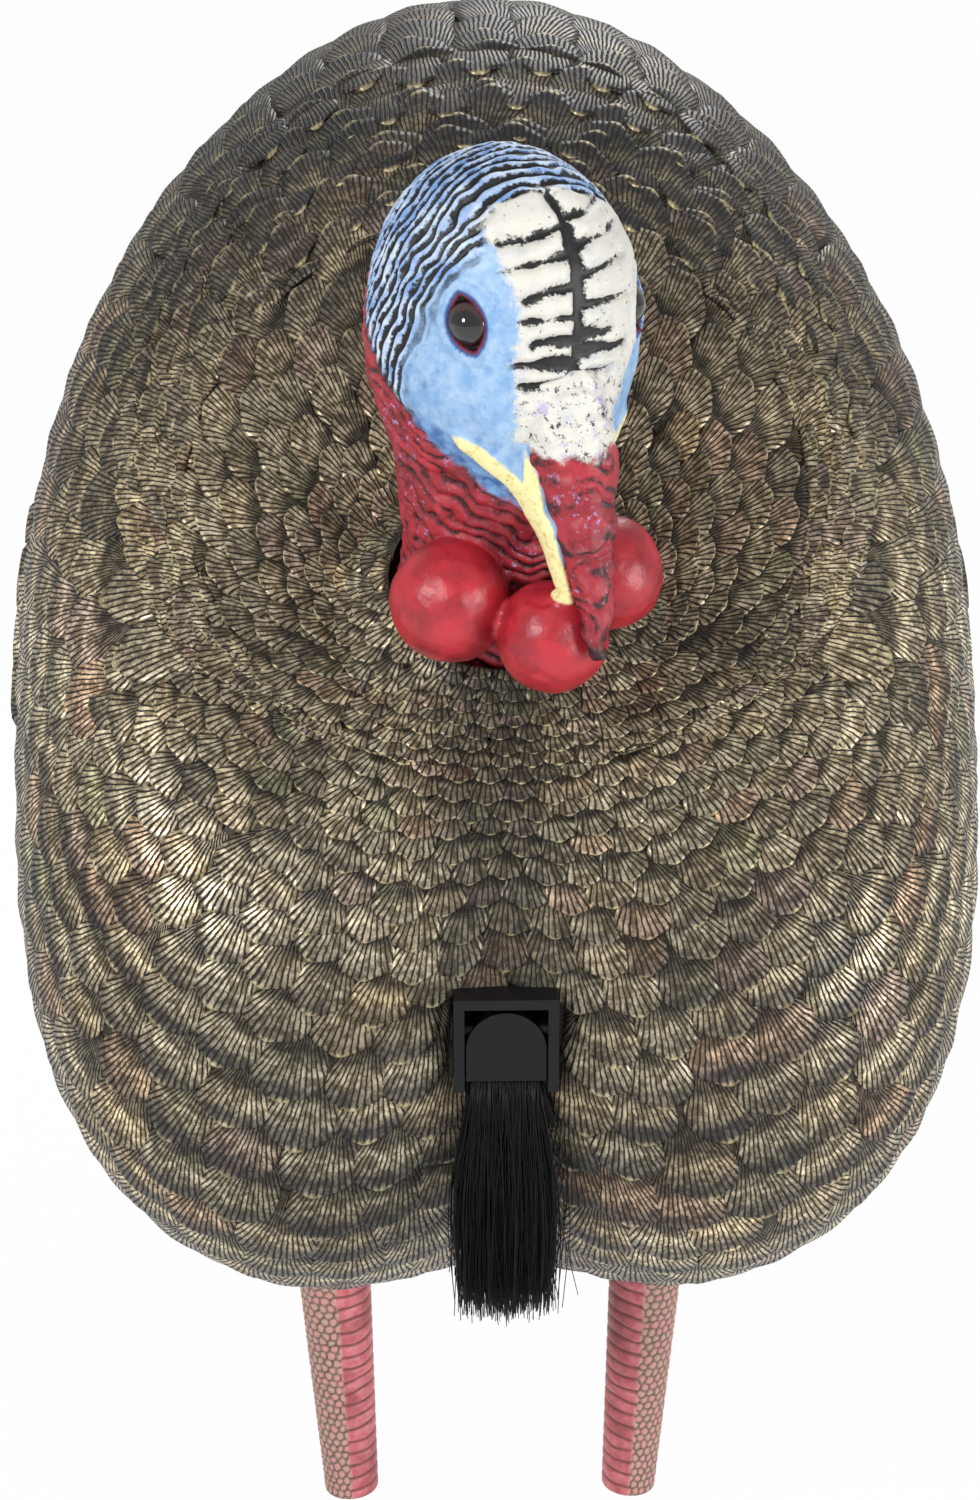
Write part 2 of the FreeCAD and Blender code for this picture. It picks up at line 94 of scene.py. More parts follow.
def makePiece(name, vertices, faces, body, material, smooth=True):
    mesh = bpy.data.meshes.new(name)
    mesh.from_pydata(np.asarray(vertices).tolist(), [], [list(f) for f in faces])
    mesh.validate()
    mesh.update()
    if smooth:
        mesh.polygons.foreach_set("use_smooth", np.ones(len(mesh.polygons), bool))
    piece = bpy.data.objects.new(name, mesh)
    bpy.context.scene.collection.objects.link(piece)
    piece.data.materials.append(material)
    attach(piece, body)
    return piece


def setVectors(mesh, name, values, kind="FLOAT_VECTOR"):
    layer = mesh.attributes.new(name, kind, "POINT")
    key = "color" if kind == "FLOAT_COLOR" else "vector"
    layer.data.foreach_set(key, np.asarray(values, dtype=np.float32).ravel())


def boxOf(node):
    low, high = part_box(node)
    return np.array(low), np.array(high)


def smoothStep(low, high, x):
    t = np.clip((x - low) / (high - low), 0, 1)
    return t * t * (3 - 2 * t)


# the body's skin as a grid: rings from the neck to the tail, angles from the back round
rings = {
    # centre (y, z) in mm and tilt in degrees of each ring, from the neck opening to the tail
    "path": [(-170, 303, 36), (-177, 305, 42), (-170, 299, 46.5), (-150, 285, 49.5), (-114, 266, 51.5),
             (-55, 244, 53), (24, 215, 55), (113, 189, 58.5), (206, 193, 65), (284, 211, 74), (340, 236, 80)],
    "count": 260,
    "angles": 480,
}


# Centre and upward direction of the ring at u, 0 at the neck and 1 at the tail.
def ringAt(u):
    path = np.array(rings["path"], float)
    t = np.clip(np.asarray(u, float), 0, 1) * (len(path) - 1)
    i = np.minimum(t.astype(int), len(path) - 2)
    f = (t - i)[..., None]
    before, after = np.maximum(i - 1, 0), np.minimum(i + 2, len(path) - 1)
    a, b, c, d = path[before], path[i], path[i + 1], path[after]
    point = 0.5 * (2 * b + (c - a) * f + (2 * a - 5 * b + 4 * c - d) * f ** 2
                   + (3 * b - a - 3 * c + d) * f ** 3)
    tilt = np.radians(point[..., 2])
    centre = np.stack([np.zeros_like(tilt), point[..., 0] * mm, point[..., 1] * mm], -1)
    up = np.stack([np.zeros_like(tilt), np.cos(tilt), np.sin(tilt)], -1)
    return centre, up


def skinTree(names):
    vertices, faces = [], []
    for name in names:
        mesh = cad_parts[name].data
        start = len(vertices)
        vertices += [v.co.copy() for v in mesh.vertices]
        faces += [[start + i for i in p.vertices] for p in mesh.polygons]
    return BVHTree.FromPolygons(vertices, faces)


def castSkin():
    tree = skinTree(["body_shell", "left_wing", "right_wing"])
    us = np.linspace(0.004, 0.996, rings["count"])
    angles = np.arange(rings["angles"]) * 2 * math.pi / rings["angles"]
    centres, ups = ringAt(us)
    reach = np.zeros((len(us), len(angles)))
    for i in range(len(us)):
        centre = Vector(centres[i])
        for j, angle in enumerate(angles):
            out = Vector(ups[i] * math.cos(angle) + np.array([math.sin(angle), 0, 0]))
            start = centre + out * 0.5
            hit = tree.ray_cast(start, -out)[0]
            reach[i, j] = (hit - centre).dot(out) if hit else 0.0
    return us, angles, centres, ups, reach


# Bridges the beard bracket's hole and takes the moulded seats' steps out.
def mendSkin(us, angles, centres, ups, reach):
    low, high = boxOf("beard_bracket")
    back = math.pi
    near = np.abs(angles - back) < 0.16
    for i in range(len(us)):
        k = np.argmin(np.abs(angles - back))
        point = centres[i] - ups[i] * reach[i, k]
        if low[2] - 0.012 < point[2] < high[2] + 0.012 and point[1] < 0:
            inside = np.where(near)[0]
            a, b = reach[i, inside[0]], reach[i, inside[-1]]
            mid = min(a, b) * 0.955
            t = (angles[inside] - back) / 0.16
            reach[i, inside] = mid + (np.where(t < 0, a, b) - mid) * np.abs(t) ** 1.6
    bad = reach <= 0.001
    for i, j in zip(*np.where(bad)):
        column = reach[:, j]
        good = np.where(column > 0.001)[0]
        reach[i, j] = column[good[np.argmin(np.abs(good - i))]]
    front = smoothStep(1.25, 0.95, np.abs(angles - back))[None, :]
    soft = reach.copy()
    for _ in range(16):
        soft[1:-1] = (soft[:-2] + 2 * soft[1:-1] + soft[2:]) / 4
        soft = (np.roll(soft, 1, 1) + 2 * soft + np.roll(soft, -1, 1)) / 4
    soft = np.maximum(soft, reach - 0.0004)
    return reach + (soft - reach) * front


hackle = {
    "foot": 38.5,      # mm from the neck's axis where the plumage begins
    "rise": 15.0,      # mm that the cape climbs round the neck
    "run": 42.0,
    "rows": 44,
    "blend": 13,       # rows on each side over which the cape runs into the shoulders
}


# The cape round the neck, from its foot to the first ring, as heights over the opening's plane.
def castHackle(rim):
    tree = skinTree(["body_shell"])
    centre, up = ringAt(0.004)
    axis = np.cross(up, np.array([1.0, 0, 0]))
    axis *= np.sign(axis[2])
    points = np.zeros((hackle["rows"], len(angles), 3))
    share = np.linspace(0, 1, hackle["rows"], endpoint=False)
    for j, angle in enumerate(angles):
        out = up * math.cos(angle) + np.array([math.sin(angle), 0, 0])
        radii = hackle["foot"] * mm + (rim[j] - hackle["foot"] * mm) * share
        for i, radius in enumerate(radii):
            start = centre + out * radius + axis * 0.06
            hit = tree.ray_cast(Vector(start), Vector(-axis))[0]
            height = max((np.array(hit) - centre).dot(axis), 0.0) if hit else 0.0
            near = max(1 - (radius / mm - hackle["foot"]) / hackle["run"], 0)
            height = max(height + 0.4 * mm, hackle["rise"] * mm * near ** 2)
            points[i, j] = centre + out * radius + axis * height
    return points


# Rounds the joint of cape and shoulders, then lifts what has gone under the shell.
def roundJoint(points):
    first, last = hackle["rows"] - hackle["blend"], hackle["rows"] + hackle["blend"]
    for _ in range(60):
        inner = points[first:last]
        points[first:last] = (inner + 0.5 * (points[first - 1:last - 1] + points[first + 1:last + 1])) / 2
    tree = skinTree(["body_shell", "left_wing", "right_wing"])
    for i in range(first, last):
        for j in range(len(angles)):
            place, normal, _, _ = tree.find_nearest(Vector(points[i, j]))
            if place is not None and (Vector(points[i, j]) - place).dot(normal) < 0.0003:
                points[i, j] = np.array(place + normal * 0.0003)
    return points


us, angles, centres, ups, reach = castSkin()
reach = mendSkin(us, angles, centres, ups, reach)
outward = (ups[:, None, :] * np.cos(angles)[None, :, None]
           + np.array([1.0, 0, 0]) * np.sin(angles)[None, :, None])
skinPoints = centres[:, None, :] + outward * reach[:, :, None]
skinPoints = roundJoint(np.concatenate([castHackle(reach[0]), skinPoints]))
neckUp = np.array([0, -math.sin(math.radians(36.3)), math.cos(math.radians(36.3))])
outward = np.concatenate([outward[:1] * 0.2 + np.ones((hackle["rows"], 1, 1)) * neckUp, outward])
us = np.linspace(0, 1, len(skinPoints))      # from here on u counts rows, neck to tail
say("skin cast")


# Bilinear look-up in a grid over u and angle.
def sample(grid, u, angle):
    x = np.clip((u - us[0]) / (us[-1] - us[0]), 0, 1) * (len(us) - 1)
    y = np.mod(angle, 2 * math.pi) / (2 * math.pi) * len(angles)
    i = np.minimum(x.astype(int), len(us) - 2)
    j = y.astype(int) % len(angles)
    fx, fy = (x - i)[..., None], (y - np.floor(y))[..., None]
    k = (j + 1) % len(angles)
    return ((grid[i, j] * (1 - fx) + grid[i + 1, j] * fx) * (1 - fy)
            + (grid[i, k] * (1 - fx) + grid[i + 1, k] * fx) * fy)


alongU = np.gradient(skinPoints, us, axis=0)
alongAngle = (np.roll(skinPoints, -1, 1) - np.roll(skinPoints, 1, 1)) / (2 * angles[1])
runs = np.concatenate([np.zeros((1, len(angles))),
                       np.cumsum(np.linalg.norm(np.diff(skinPoints, axis=0), axis=2) + 1e-6, axis=0)])
skinNormals = np.cross(alongAngle, alongU)
skinNormals /= np.linalg.norm(skinNormals, axis=2, keepdims=True)
skinNormals *= np.sign((skinNormals * outward).sum(2, keepdims=True))


# feathers
featherGrid = {
    "along": np.array([0.0, 0.3, 0.5, 0.66, 0.79, 0.89, 0.96, 1.0]),
    "across": np.linspace(-1, 1, 9),
}


# Share of the half width at a along the feather: near straight sides, a round tip.
def featherHalfWidth(a):
    tip = np.clip((a - 0.66) / 0.34, 0, 1)
    return np.where(a < 0.66, 0.84 + 0.16 * a / 0.66, np.sqrt(np.maximum(1 - tip ** 3.0, 0)) * 0.62 + 0.38)


# One mesh of feathers that lie on the skin; plan rows: u, angle, length, width, lift, spin, tint.
def buildFeathers(name, plan, material):
    plan = np.asarray(plan, float)
    a = featherGrid["along"][:, None]
    b = featherGrid["across"][None, :]
    rows, columns = a.shape[0], b.shape[1]
    half = featherHalfWidth(a)
    localAcross = b * half * np.ones_like(a)
    localAlong = a - 0.07 * b ** 2 * a
    count = len(plan)
    u, angle, length, width, lift, spin = [plan[:, k][:, None, None] for k in range(6)]
    x = localAcross[None] * width / 2
    y = (localAlong[None] - 0.55) * length
    turnedX = x * np.cos(spin) - y * np.sin(spin)
    turnedY = x * np.sin(spin) + y * np.cos(spin)
    stepA = np.linalg.norm(sample(alongAngle, plan[:, 0], plan[:, 1]), axis=1)[:, None, None]
    pu = np.empty_like(turnedY)
    for k in range(count):
        run = runs[:, int(round(plan[k, 1] / angles[1])) % len(angles)]
        pu[k] = np.interp(np.interp(plan[k, 0], us, run) + turnedY[k], run, us)
    pa = angle + turnedX / stepA
    base = sample(skinPoints, pu, pa)
    normal = sample(skinNormals, pu, pa)
    normal /= np.linalg.norm(normal, axis=-1, keepdims=True)
    crown = (1 - b ** 2)[None] * 0.35 + 0.65
    height = lift * (0.12 + 0.88 * a[None] ** 1.15) * crown + plan[:, 6][:, None, None]
    top = base + normal * height[..., None]
    skirt = base - normal * (0.6 * mm)
    # rim of the top grid: left side, tip, right side
    rimIndex = ([(i, 0) for i in range(rows)] + [(rows - 1, j) for j in range(1, columns - 1)]
                + [(i, columns - 1) for i in range(rows - 1, -1, -1)])
    ri = np.array([p[0] for p in rimIndex])
    rj = np.array([p[1] for p in rimIndex])
    tops = top.reshape(count, rows * columns, 3)
    lows = skirt[:, ri, rj]
    per = rows * columns + len(rimIndex)
    vertices = np.concatenate([tops, lows], 1).reshape(-1, 3)
    quads = []
    for i in range(rows - 1):
        for j in range(columns - 1):
            p = i * columns + j
            quads.append((p, p + columns, p + columns + 1, p + 1))
    topId = ri * columns + rj
    for k in range(len(rimIndex) - 1):
        low = rows * columns + k
        quads.append((topId[k], low, low + 1, topId[k + 1]))
    quads = np.array(quads)
    faces = (quads[None] + (np.arange(count) * per)[:, None, None]).reshape(-1, 4)
    piece = makePiece(name, vertices, faces, "body", material)
    # barbs fan from the feather's root: x counts barbs, y runs from root to tip, z across
    reachOut = length * 0.62
    fan = np.arctan2(x, (localAlong[None] + 0.18) * length * 0.9)
    barbs = fan * reachOut / (1.4 * mm)
    coords = np.stack([barbs, localAlong[None] + 0 * x, localAcross[None] + 0 * x], -1)
    topCoords = coords.reshape(count, rows * columns, 3)
    lowCoords = coords[:, ri, rj].copy()
    lowCoords[..., 1] += 0.06
    setVectors(piece.data, "barb", np.concatenate([topCoords, lowCoords], 1))
    tints = np.repeat(plan[:, None, 7:11], per, 1)
    setVectors(piece.data, "tint", tints, "FLOAT_COLOR")
    # one tile of the map for each feather
    side = math.ceil(math.sqrt(count))
    tileX = (np.arange(count) % side)[:, None]
    tileY = (np.arange(count) // side)[:, None]
    across = 0.5 + 0.42 * np.broadcast_to(b + 0 * a, (rows, columns)).ravel()
    upMap = 0.08 + 0.80 * np.broadcast_to(a + 0 * b, (rows, columns)).ravel()
    lowAcross = 0.5 + 0.47 * (featherGrid["across"][rj])
    lowUp = 0.08 + 0.80 * featherGrid["along"][ri] + 0.08 * (ri == rows - 1)
    mapX = (tileX + np.concatenate([across, lowAcross])[None]) / side
    mapY = (tileY + np.concatenate([upMap, lowUp])[None]) / side
    uv = np.stack([mapX, mapY], -1).reshape(-1, 2)
    layer = piece.data.uv_layers.new(name="OFBake")
    loops = np.zeros(len(piece.data.loops), np.int32)
    piece.data.loops.foreach_get("vertex_index", loops)
    layer.data.foreach_set("uv", uv[loops].astype(np.float32).ravel())
    return piece


# Rows of feathers between two angles. sizeOf gives length, width and lift in mm at (u, angle).
def planRows(rowUs, low, high, sizeOf, tintOf, stagger=0.5, seed=1):
    dice = np.random.default_rng(seed)
    plan = []
    for i, u in enumerate(rowUs):
        start, end = low(u), high(u)
        after = rowUs[i + 1] if i + 1 < len(rowUs) else 2 * u - rowUs[i - 1]
        probe = np.linspace(start, end, 80)
        metric = np.linalg.norm(sample(alongAngle, np.full(80, u), probe), axis=1)
        line = sample(skinPoints, np.full(80, u), probe)
        widths = np.array([sizeOf(u, p, q)[1] for p, q in zip(probe, line)]) * mm
        # spacing follows the local feather width
        steps = np.concatenate([[0], np.cumsum((metric / (widths * 0.88))[1:] * np.diff(probe))])
        number = max(int(steps[-1]), 1)
        wanted = (np.arange(number + 1) + stagger * (i % 2)) * steps[-1] / number
        wanted = wanted[wanted <= steps[-1] + 1e-6] + dice.normal(0, 0.07, (wanted <= steps[-1] + 1e-6).sum())
        for angle in np.interp(wanted, steps, probe):
            place = sample(skinPoints, np.array(u), np.array(angle))
            length, width, lift = sizeOf(u, angle, place)
            gap = np.linalg.norm(sample(skinPoints, np.array(after), np.array(angle)) - place) / mm
            length = max(length * 0.6, gap * plumage["overlap"])
            stretch = dice.normal(1, 0.06, 2)
            step = max(np.linalg.norm(sample(alongU, np.array(u), np.array(angle))), 0.25)
            shift = dice.normal(0, 0.05) * length * mm / step
            if not feathered(place) or (insideWing(place) and place[1] > 0.0):
                continue
            plan.append((u + shift, angle, length * mm * stretch[0], width * mm * stretch[1], lift * mm,
                         dice.normal(0, 0.07), dice.uniform(0, 0.35) * mm, *tintOf(u, angle, dice, place)))
    return plan


# No feathers over the leg collars, the stake flange and the beard's tab.
def feathered(place):
    for node, margin in (("left_leg_socket", 4), ("right_leg_socket", 4), ("stake_socket", 5)):
        low, high = boxOf(node)
        middle = (low + high) / 2
        if place[2] < 0.03 and np.hypot(*(place[:2] - middle[:2])) < (high[1] - low[1]) / 2 + margin * mm:
            return False
    low, high = boxOf("beard_bracket")
    inside = low[0] < place[0] < high[0] and low[2] - 0.004 < place[2] < high[2] + 0.002
    return not (inside and place[1] < -0.15)


# wings: greater coverts and long flight feathers over the wing panels
wingShape = {
    # rows from the front: first and last root (y, z) in mm, count, length, width, direction in degrees
    "rows": [((118, 300), (84, 158), 7, 168, 30, -16), ((74, 314), (36, 150), 9, 92, 27, -14),
             ((36, 318), (-6, 150), 11, 62, 24, -12), ((2, 312), (-46, 160), 12, 46, 21, -12)],
    "outline": [(-62, 285), (24, 316), (96, 312), (132, 284), (190, 264), (262, 226), (250, 200),
                (182, 168), (84, 146),
                (-8, 152), (-62, 182)],
}


def insideWing(place):
    y, z = place[1] / mm, place[2] / mm
    corners = wingShape["outline"]
    inside = False
    for (y1, z1), (y2, z2) in zip(corners, corners[1:] + corners[:1]):
        if (z1 > z) != (z2 > z) and y < (y2 - y1) * (z - z1) / (z2 - z1) + y1:
            inside = not inside
    return inside and abs(place[0]) > 0.09


# Row places along the line of one angle; spacing in mm at u.
def rowsBySpacing(angle, spacing, start=0.004, end=0.99):
    line = sample(skinPoints, us, np.full(len(us), angle))
    run = np.concatenate([[0], np.cumsum(np.linalg.norm(np.diff(line, axis=0), axis=1))]) / mm
    places, here = [], float(np.interp(start, us, run))
    while True:
        u = float(np.interp(here, run, us))
        if u >= end or here >= run[-1] - 1:
            return places
        places.append(u)
        here += spacing(sample(skinPoints, np.array(u), np.array(angle)))


plumage = {
    "foldAngle": 1.78,        # radians from the back where the back's feathers meet the breast's
    "backSpacing": (9, 21),   # mm between rows at the neck and further on
    "breastSpacing": (5.0, 19),
    "overlap": 2.0,           # feather length over row spacing
}


# Distance in mm of a place from the neck's foot.
def fromNeck(place):
    return np.linalg.norm(np.asarray(place) - neckFoot, axis=-1) / mm


neckFoot = skinPoints[0].mean(0)


def backSpacing(place):
    near, far = plumage["backSpacing"]
    return near + (far - near) * smoothStep(40, 150, fromNeck(place))


def breastSpacing(place):
    near, far = plumage["breastSpacing"]
    return near + (far - near) * smoothStep(30, 250, fromNeck(place))


def backSize(u, angle, place):
    spacing = backSpacing(place)
    return spacing * plumage["overlap"], spacing * 1.25 + 2, 1.5 + 0.09 * spacing


def breastSize(u, angle, place):
    spacing = breastSpacing(place) * (0.9 + 0.25 * abs(math.sin(angle)))
    return spacing * plumage["overlap"], spacing * 1.35 + 3.0, 1.0 + 0.10 * spacing


fold = plumage["foldAngle"]
full = 2 * math.pi


def foldAt(u):
    return fold + 0.15 * smoothStep(0.4, 0.9, u)


# brightness of the feathers' paint as factors; ranges are in mm: across the body, in height or from the neck
tones = {
    "mean": 1.02, "backLoss": 0.24, "spread": 0.15, "warmth": (0.03, 0.05),
    "creaseShade": ((3, 36), 0.64),                         # painted shade in the breast's crease
    "middle": ((120, 70), (95, 150), 0.30),
    "fold": (0.10, (45, 80), 0.38),                   # painted shade: dark line along the crease where back and breast meet
    "shoulder": ((158, 275), (26, 34), 0.35),         # silvery patch on each shoulder
    "top": ((350, 450), 0.68),                        # the top of the back is browner, and darker with painted shade
    "flank": ((95, 150), 0.25),
    "odd": [(0.07, (1.08, 0.86, 0.82)), (0.12, (1.04, 0.90, 0.98)), (0.17, (0.95, 0.99, 0.84))],
    "band": (0.15, 0.75, (90, 200), 0.15),
    "brightest": 1.6,
}


# Red, green, blue factors of the feather's paint, painted shade in creases and on the top of the back included, and
# the depth of its dark band.
def tintOf(u, angle, dice, place):
    up = math.cos(angle) * 0.5 + 0.5
    bright = tones["mean"] - tones["backLoss"] * up + dice.normal(0, tones["spread"])
    warm = tones["warmth"][0] * up + abs(dice.normal(0, tones["warmth"][1]))
    x, y, z = np.asarray(place) / mm
    if up < 0.5 and y < 0:
        # painted shade in the breast's middle crease
        wide, loss = tones["creaseShade"]
        bright *= 1 - loss + loss * smoothStep(*wide, abs(x))
        wide, high, loss = tones["middle"]
        bright *= 1 - loss * smoothStep(*wide, abs(x)) * smoothStep(*high, z)
    # painted shade along the crease where back and breast meet
    wide, away, loss = tones["fold"]
    crease = min(abs(angle - foldAt(u)), abs(full - angle - foldAt(u)))
    bright *= 1 - loss * math.exp(-(crease / wide) ** 2) * smoothStep(*away, fromNeck(place))
    (shoulderX, shoulderZ), (wide, high), gain = tones["shoulder"]
    silver = math.exp(-((abs(x) - shoulderX) / wide) ** 2 - ((z - shoulderZ) / high) ** 2) * (y < 40)
    bright *= 1 + gain * silver
    # painted shade on the top of the back
    bright *= 1 - tones["top"][1] * smoothStep(*tones["top"][0], z)
    bright *= 1 + tones["flank"][1] * smoothStep(*tones["flank"][0], abs(x)) * (up < 0.6)
    warm *= 1 - 0.8 * silver
    kind = dice.uniform()
    rgb = next((paint for below, paint in tones["odd"] if kind < below), (1 + warm, 1.0, 1 - 1.2 * warm))
    least, more, away, spread = tones["band"]
    band = np.clip(least + more * smoothStep(*away, fromNeck(place)) + dice.normal(0, spread), 0, 1)
    return np.clip([bright * c / tones["brightest"] for c in rgb], 0, 1).tolist() + [band]


# materials
# Lays a coat of paint where value runs from low to high; within is a second mask.
def coat(tree, base, value, low, high, paint, strength=1.0, within=None):
    share = addNode(tree, "MapRange", {"Value": value, "From Min": low, "From Max": high,
                                       "To Max": strength}).outputs[0]
    if within is not None:
        share = addNode(tree, "Math", {0: share, 1: within}, operation="MULTIPLY").outputs[0]
    return addNode(tree, "Mix", {0: share, 6: base, 7: paint}, data_type="RGBA").outputs[2]


featherPaint = {
    "groove": "#0e0c09",     # dark wash left in the engraved lines
    "ridge": "#7a6e54",      # brushed paint and painted highlight on the ridge tops
    "shine": "#f4e8c8",      # where the brush has caught the ridge tops
    "band": "#14151c",       # blue-black band before the tip
    # painted highlight along the tip's edge
    "edge": "#c9bb90",
    "roughness": 0.36,
    "metallic": 0.35,
    # size in mm, detail and roughness of the noises: barbs' wobble, brush strokes, cloudy wash
    "grains": ((5.0, 2.0, 0.6), (3.5, 5.0, 0.7), (45.0, 3.0, 0.6)),
}


# Blow-moulded polyethylene, brushed with bronze acrylic over a dark wash: satin ridges, dull grooves, painted
# highlights on the ridge tops and the tip's edge.
def featherMaterial(name, paint):
    material, tree, shader = newMaterial(name)
    barb = addNode(tree, "Attribute", attribute_name="barb").outputs["Vector"]
    across, along, _ = addNode(tree, "SeparateXYZ", {"Vector": barb}).outputs
    tint = addNode(tree, "Attribute", attribute_name="tint").outputs
    place = addNode(tree, "TexCoord").outputs["Object"]
    wobble, brush, cloud = [
        addNode(tree, "TexNoise", {"Vector": place, "Scale": 1 / (size * mm), "Detail": detail,
                                   "Roughness": rough}).outputs[0]
        for size, detail, rough in paint["grains"]]
    # barbs: engraved lines along the feather, their ridges brushed and given a painted highlight
    count = addNode(tree, "Math", {0: wobble, 1: 0.7, 2: across}, operation="MULTIPLY_ADD").outputs[0]
    turn = addNode(tree, "Math", {0: count, 1: 2 * math.pi}, operation="MULTIPLY").outputs[0]
    wave = addNode(tree, "Math", {0: turn}, operation="SINE").outputs[0]
    ridge = addNode(tree, "MapRange", {"Value": wave, "From Min": -0.95, "From Max": 0.05}).outputs[0]
    # where brushed paint and painted highlight lie on the ridges
    brushAndGlint = addNode(tree, "MapRange", {"Value": brush, "From Min": 0.44, "From Max": 0.62}).outputs[0]
    base = coat(tree, colour(paint["ridge"]), brushAndGlint, 0, 1, colour(paint["shine"]), 0.85)
    for factor in (tint["Color"], (*[tones["brightest"]] * 3, 1)):
        base = addNode(tree, "Mix", {0: 1.0, 6: base, 7: factor}, data_type="RGBA",
                       blend_type="MULTIPLY").outputs[2]
    base = addNode(tree, "Mix", {0: ridge, 6: colour(paint["groove"]), 7: base}, data_type="RGBA").outputs[2]
    # dark band before the tip
    end = addNode(tree, "MapRange", {"Value": along, "From Min": 0.93, "From Max": 0.985, "To Min": 1.0,
                                     "To Max": 0.0}).outputs[0]
    end = addNode(tree, "Math", {0: end, 1: tint["Alpha"]}, operation="MULTIPLY").outputs[0]
    base = coat(tree, base, along, 0.62, 0.84, colour(paint["band"]), 0.85, end)
    # the root lies in the shadow of the row before
    root = addNode(tree, "MapRange", {"Value": along, "From Min": 0.44, "From Max": 0.62, "To Min": 0.22}).outputs[0]
    base = addNode(tree, "Mix", {0: 1.0, 6: base, 7: root}, data_type="RGBA", blend_type="MULTIPLY").outputs[2]
    # painted highlight along the tip's edge, stronger where the ridges' highlight is
    edgeGlint = addNode(tree, "Math", {0: brushAndGlint, 1: 0.6, 2: 0.5}, operation="MULTIPLY_ADD").outputs[0]
    base = coat(tree, base, along, 0.955, 1.0, colour(paint["edge"]), 0.85, edgeGlint)
    wash = addNode(tree, "MapRange", {"Value": cloud, "From Min": 0.32, "From Max": 0.68, "To Min": 0.68,
                                      "To Max": 1.22}).outputs[0]
    base = addNode(tree, "Mix", {0: 1.0, 6: base, 7: wash}, data_type="RGBA", blend_type="MULTIPLY").outputs[2]
    tree.links.new(base, shader.inputs["Base Color"])
    rough = addNode(tree, "MapRange", {"Value": ridge, "To Min": 0.75, "To Max": paint["roughness"]})
    tree.links.new(rough.outputs[0], shader.inputs["Roughness"])
    shader.inputs["Metallic"].default_value = paint["metallic"]
    relief = addNode(tree, "Math", {0: brush, 1: 0.4, 2: ridge}, operation="MULTIPLY_ADD").outputs[0]
    bump = addNode(tree, "Bump", {"Height": relief, "Strength": 0.8, "Distance": 0.35 * mm})
    tree.links.new(bump.outputs["Normal"], shader.inputs["Normal"])
    return material


# Injection-moulded ABS: even colour, a faint orange-peel grain and slightly uneven gloss.
def plasticMaterial(name, paint, roughness, grainMm=0.8, grain=0.08, specular=0.5):
    material, tree, shader = newMaterial(name)
    place = addNode(tree, "TexCoord").outputs["Object"]
    peel, cloud = [addNode(tree, "TexNoise", {"Vector": place, "Scale": 1 / (size * mm), "Detail": 3.0,
                                              "Roughness": 0.6}).outputs[0] for size in (grainMm, 22.0)]
    rgb = colour(paint)
    low = tuple(c * 0.8 for c in rgb[:3]) + (1,)
    tree.links.new(coat(tree, low, cloud, 0, 1, rgb), shader.inputs["Base Color"])
    rough = addNode(tree, "MapRange", {"Value": cloud, "To Min": roughness - 0.06, "To Max": roughness + 0.08})
    tree.links.new(rough.outputs[0], shader.inputs["Roughness"])
    shader.inputs["Specular IOR Level"].default_value = specular
    bump = addNode(tree, "Bump", {"Height": peel, "Strength": grain, "Distance": 0.2 * mm})
    tree.links.new(bump.outputs["Normal"], shader.inputs["Normal"])
    return material


bronze = featherMaterial("paintedPolyethyleneFeathers", featherPaint)
blackPlastic = plasticMaterial("mouldedBlackAbs", "#0e0e11", 0.46, specular=0.3)

# plumage
backRows = rowsBySpacing(0.35, backSpacing, 0.004, 0.97)
breastRows = rowsBySpacing(2.45, breastSpacing, 0.002, 0.98)
breastPlan = planRows(breastRows, lambda u: foldAt(u) - 0.06, lambda u: full - foldAt(u) + 0.06,
                      breastSize, tintOf, seed=3)
backPlan = planRows(backRows, lambda u: -foldAt(u), lambda u: foldAt(u), backSize, tintOf, seed=4)
front = [row for row in breastPlan if row[0] < 0.52]
belly = [row for row in breastPlan if row[0] >= 0.52]
breastLeft = [row for row in front if row[1] < math.pi]
breastRight = [row for row in front if row[1] >= math.pi]
print("feathers", len(breastLeft), len(breastRight), len(belly), len(backPlan))
buildFeathers("breast_feathers_left", breastLeft, bronze)
buildFeathers("breast_feathers_right", breastRight, bronze)
buildFeathers("belly_feathers", belly, bronze)
backFront = [row for row in backPlan if row[0] < 0.56]
backRear = [row for row in backPlan if row[0] >= 0.56]
buildFeathers("back_feathers", backFront, bronze)
buildFeathers("rump_feathers", backRear, bronze)
say("feathers laid")

# head
headShape = {
    "centre": (0.0, -204.992, 413.895),   # skull's centre in mm
    "turn": 27.7,                         # degrees to the bird's left
    "neckFoot": (0.0, -169.992, 302.895),
    "neckTilt": 36.3,
    "neckRings": [(4.3, 0, 36), (36, 4, 33), (72, 16, 36), (100, 28, 41)],   # height, back, radius
    "bulbs": [((-25.5, 10, -92), 20.0), ((-1, 36, -101), 18.6), ((29, 22, -87), 19.0)],
    "eye": (26.8, 28.6, 6.0),             # side, forward, up of an eye's centre
    "eyeRadius": 9.0,
    "voxel": 1.05,                        # mm of the skin's mesh
}


# World millimetres to the head's own side, forward and up, and back.
def headAxes():
    turn = math.radians(headShape["turn"])
    side = np.array([math.cos(turn), math.sin(turn), 0])
    ahead = np.array([math.sin(turn), -math.cos(turn), 0])
    return np.stack([side, ahead, np.array([0, 0, 1.0])])


def toHead(points):
    return (np.asarray(points) - headShape["centre"]) @ headAxes().T


def fromHead(points):
    return np.asarray(points) @ headAxes() + headShape["centre"]


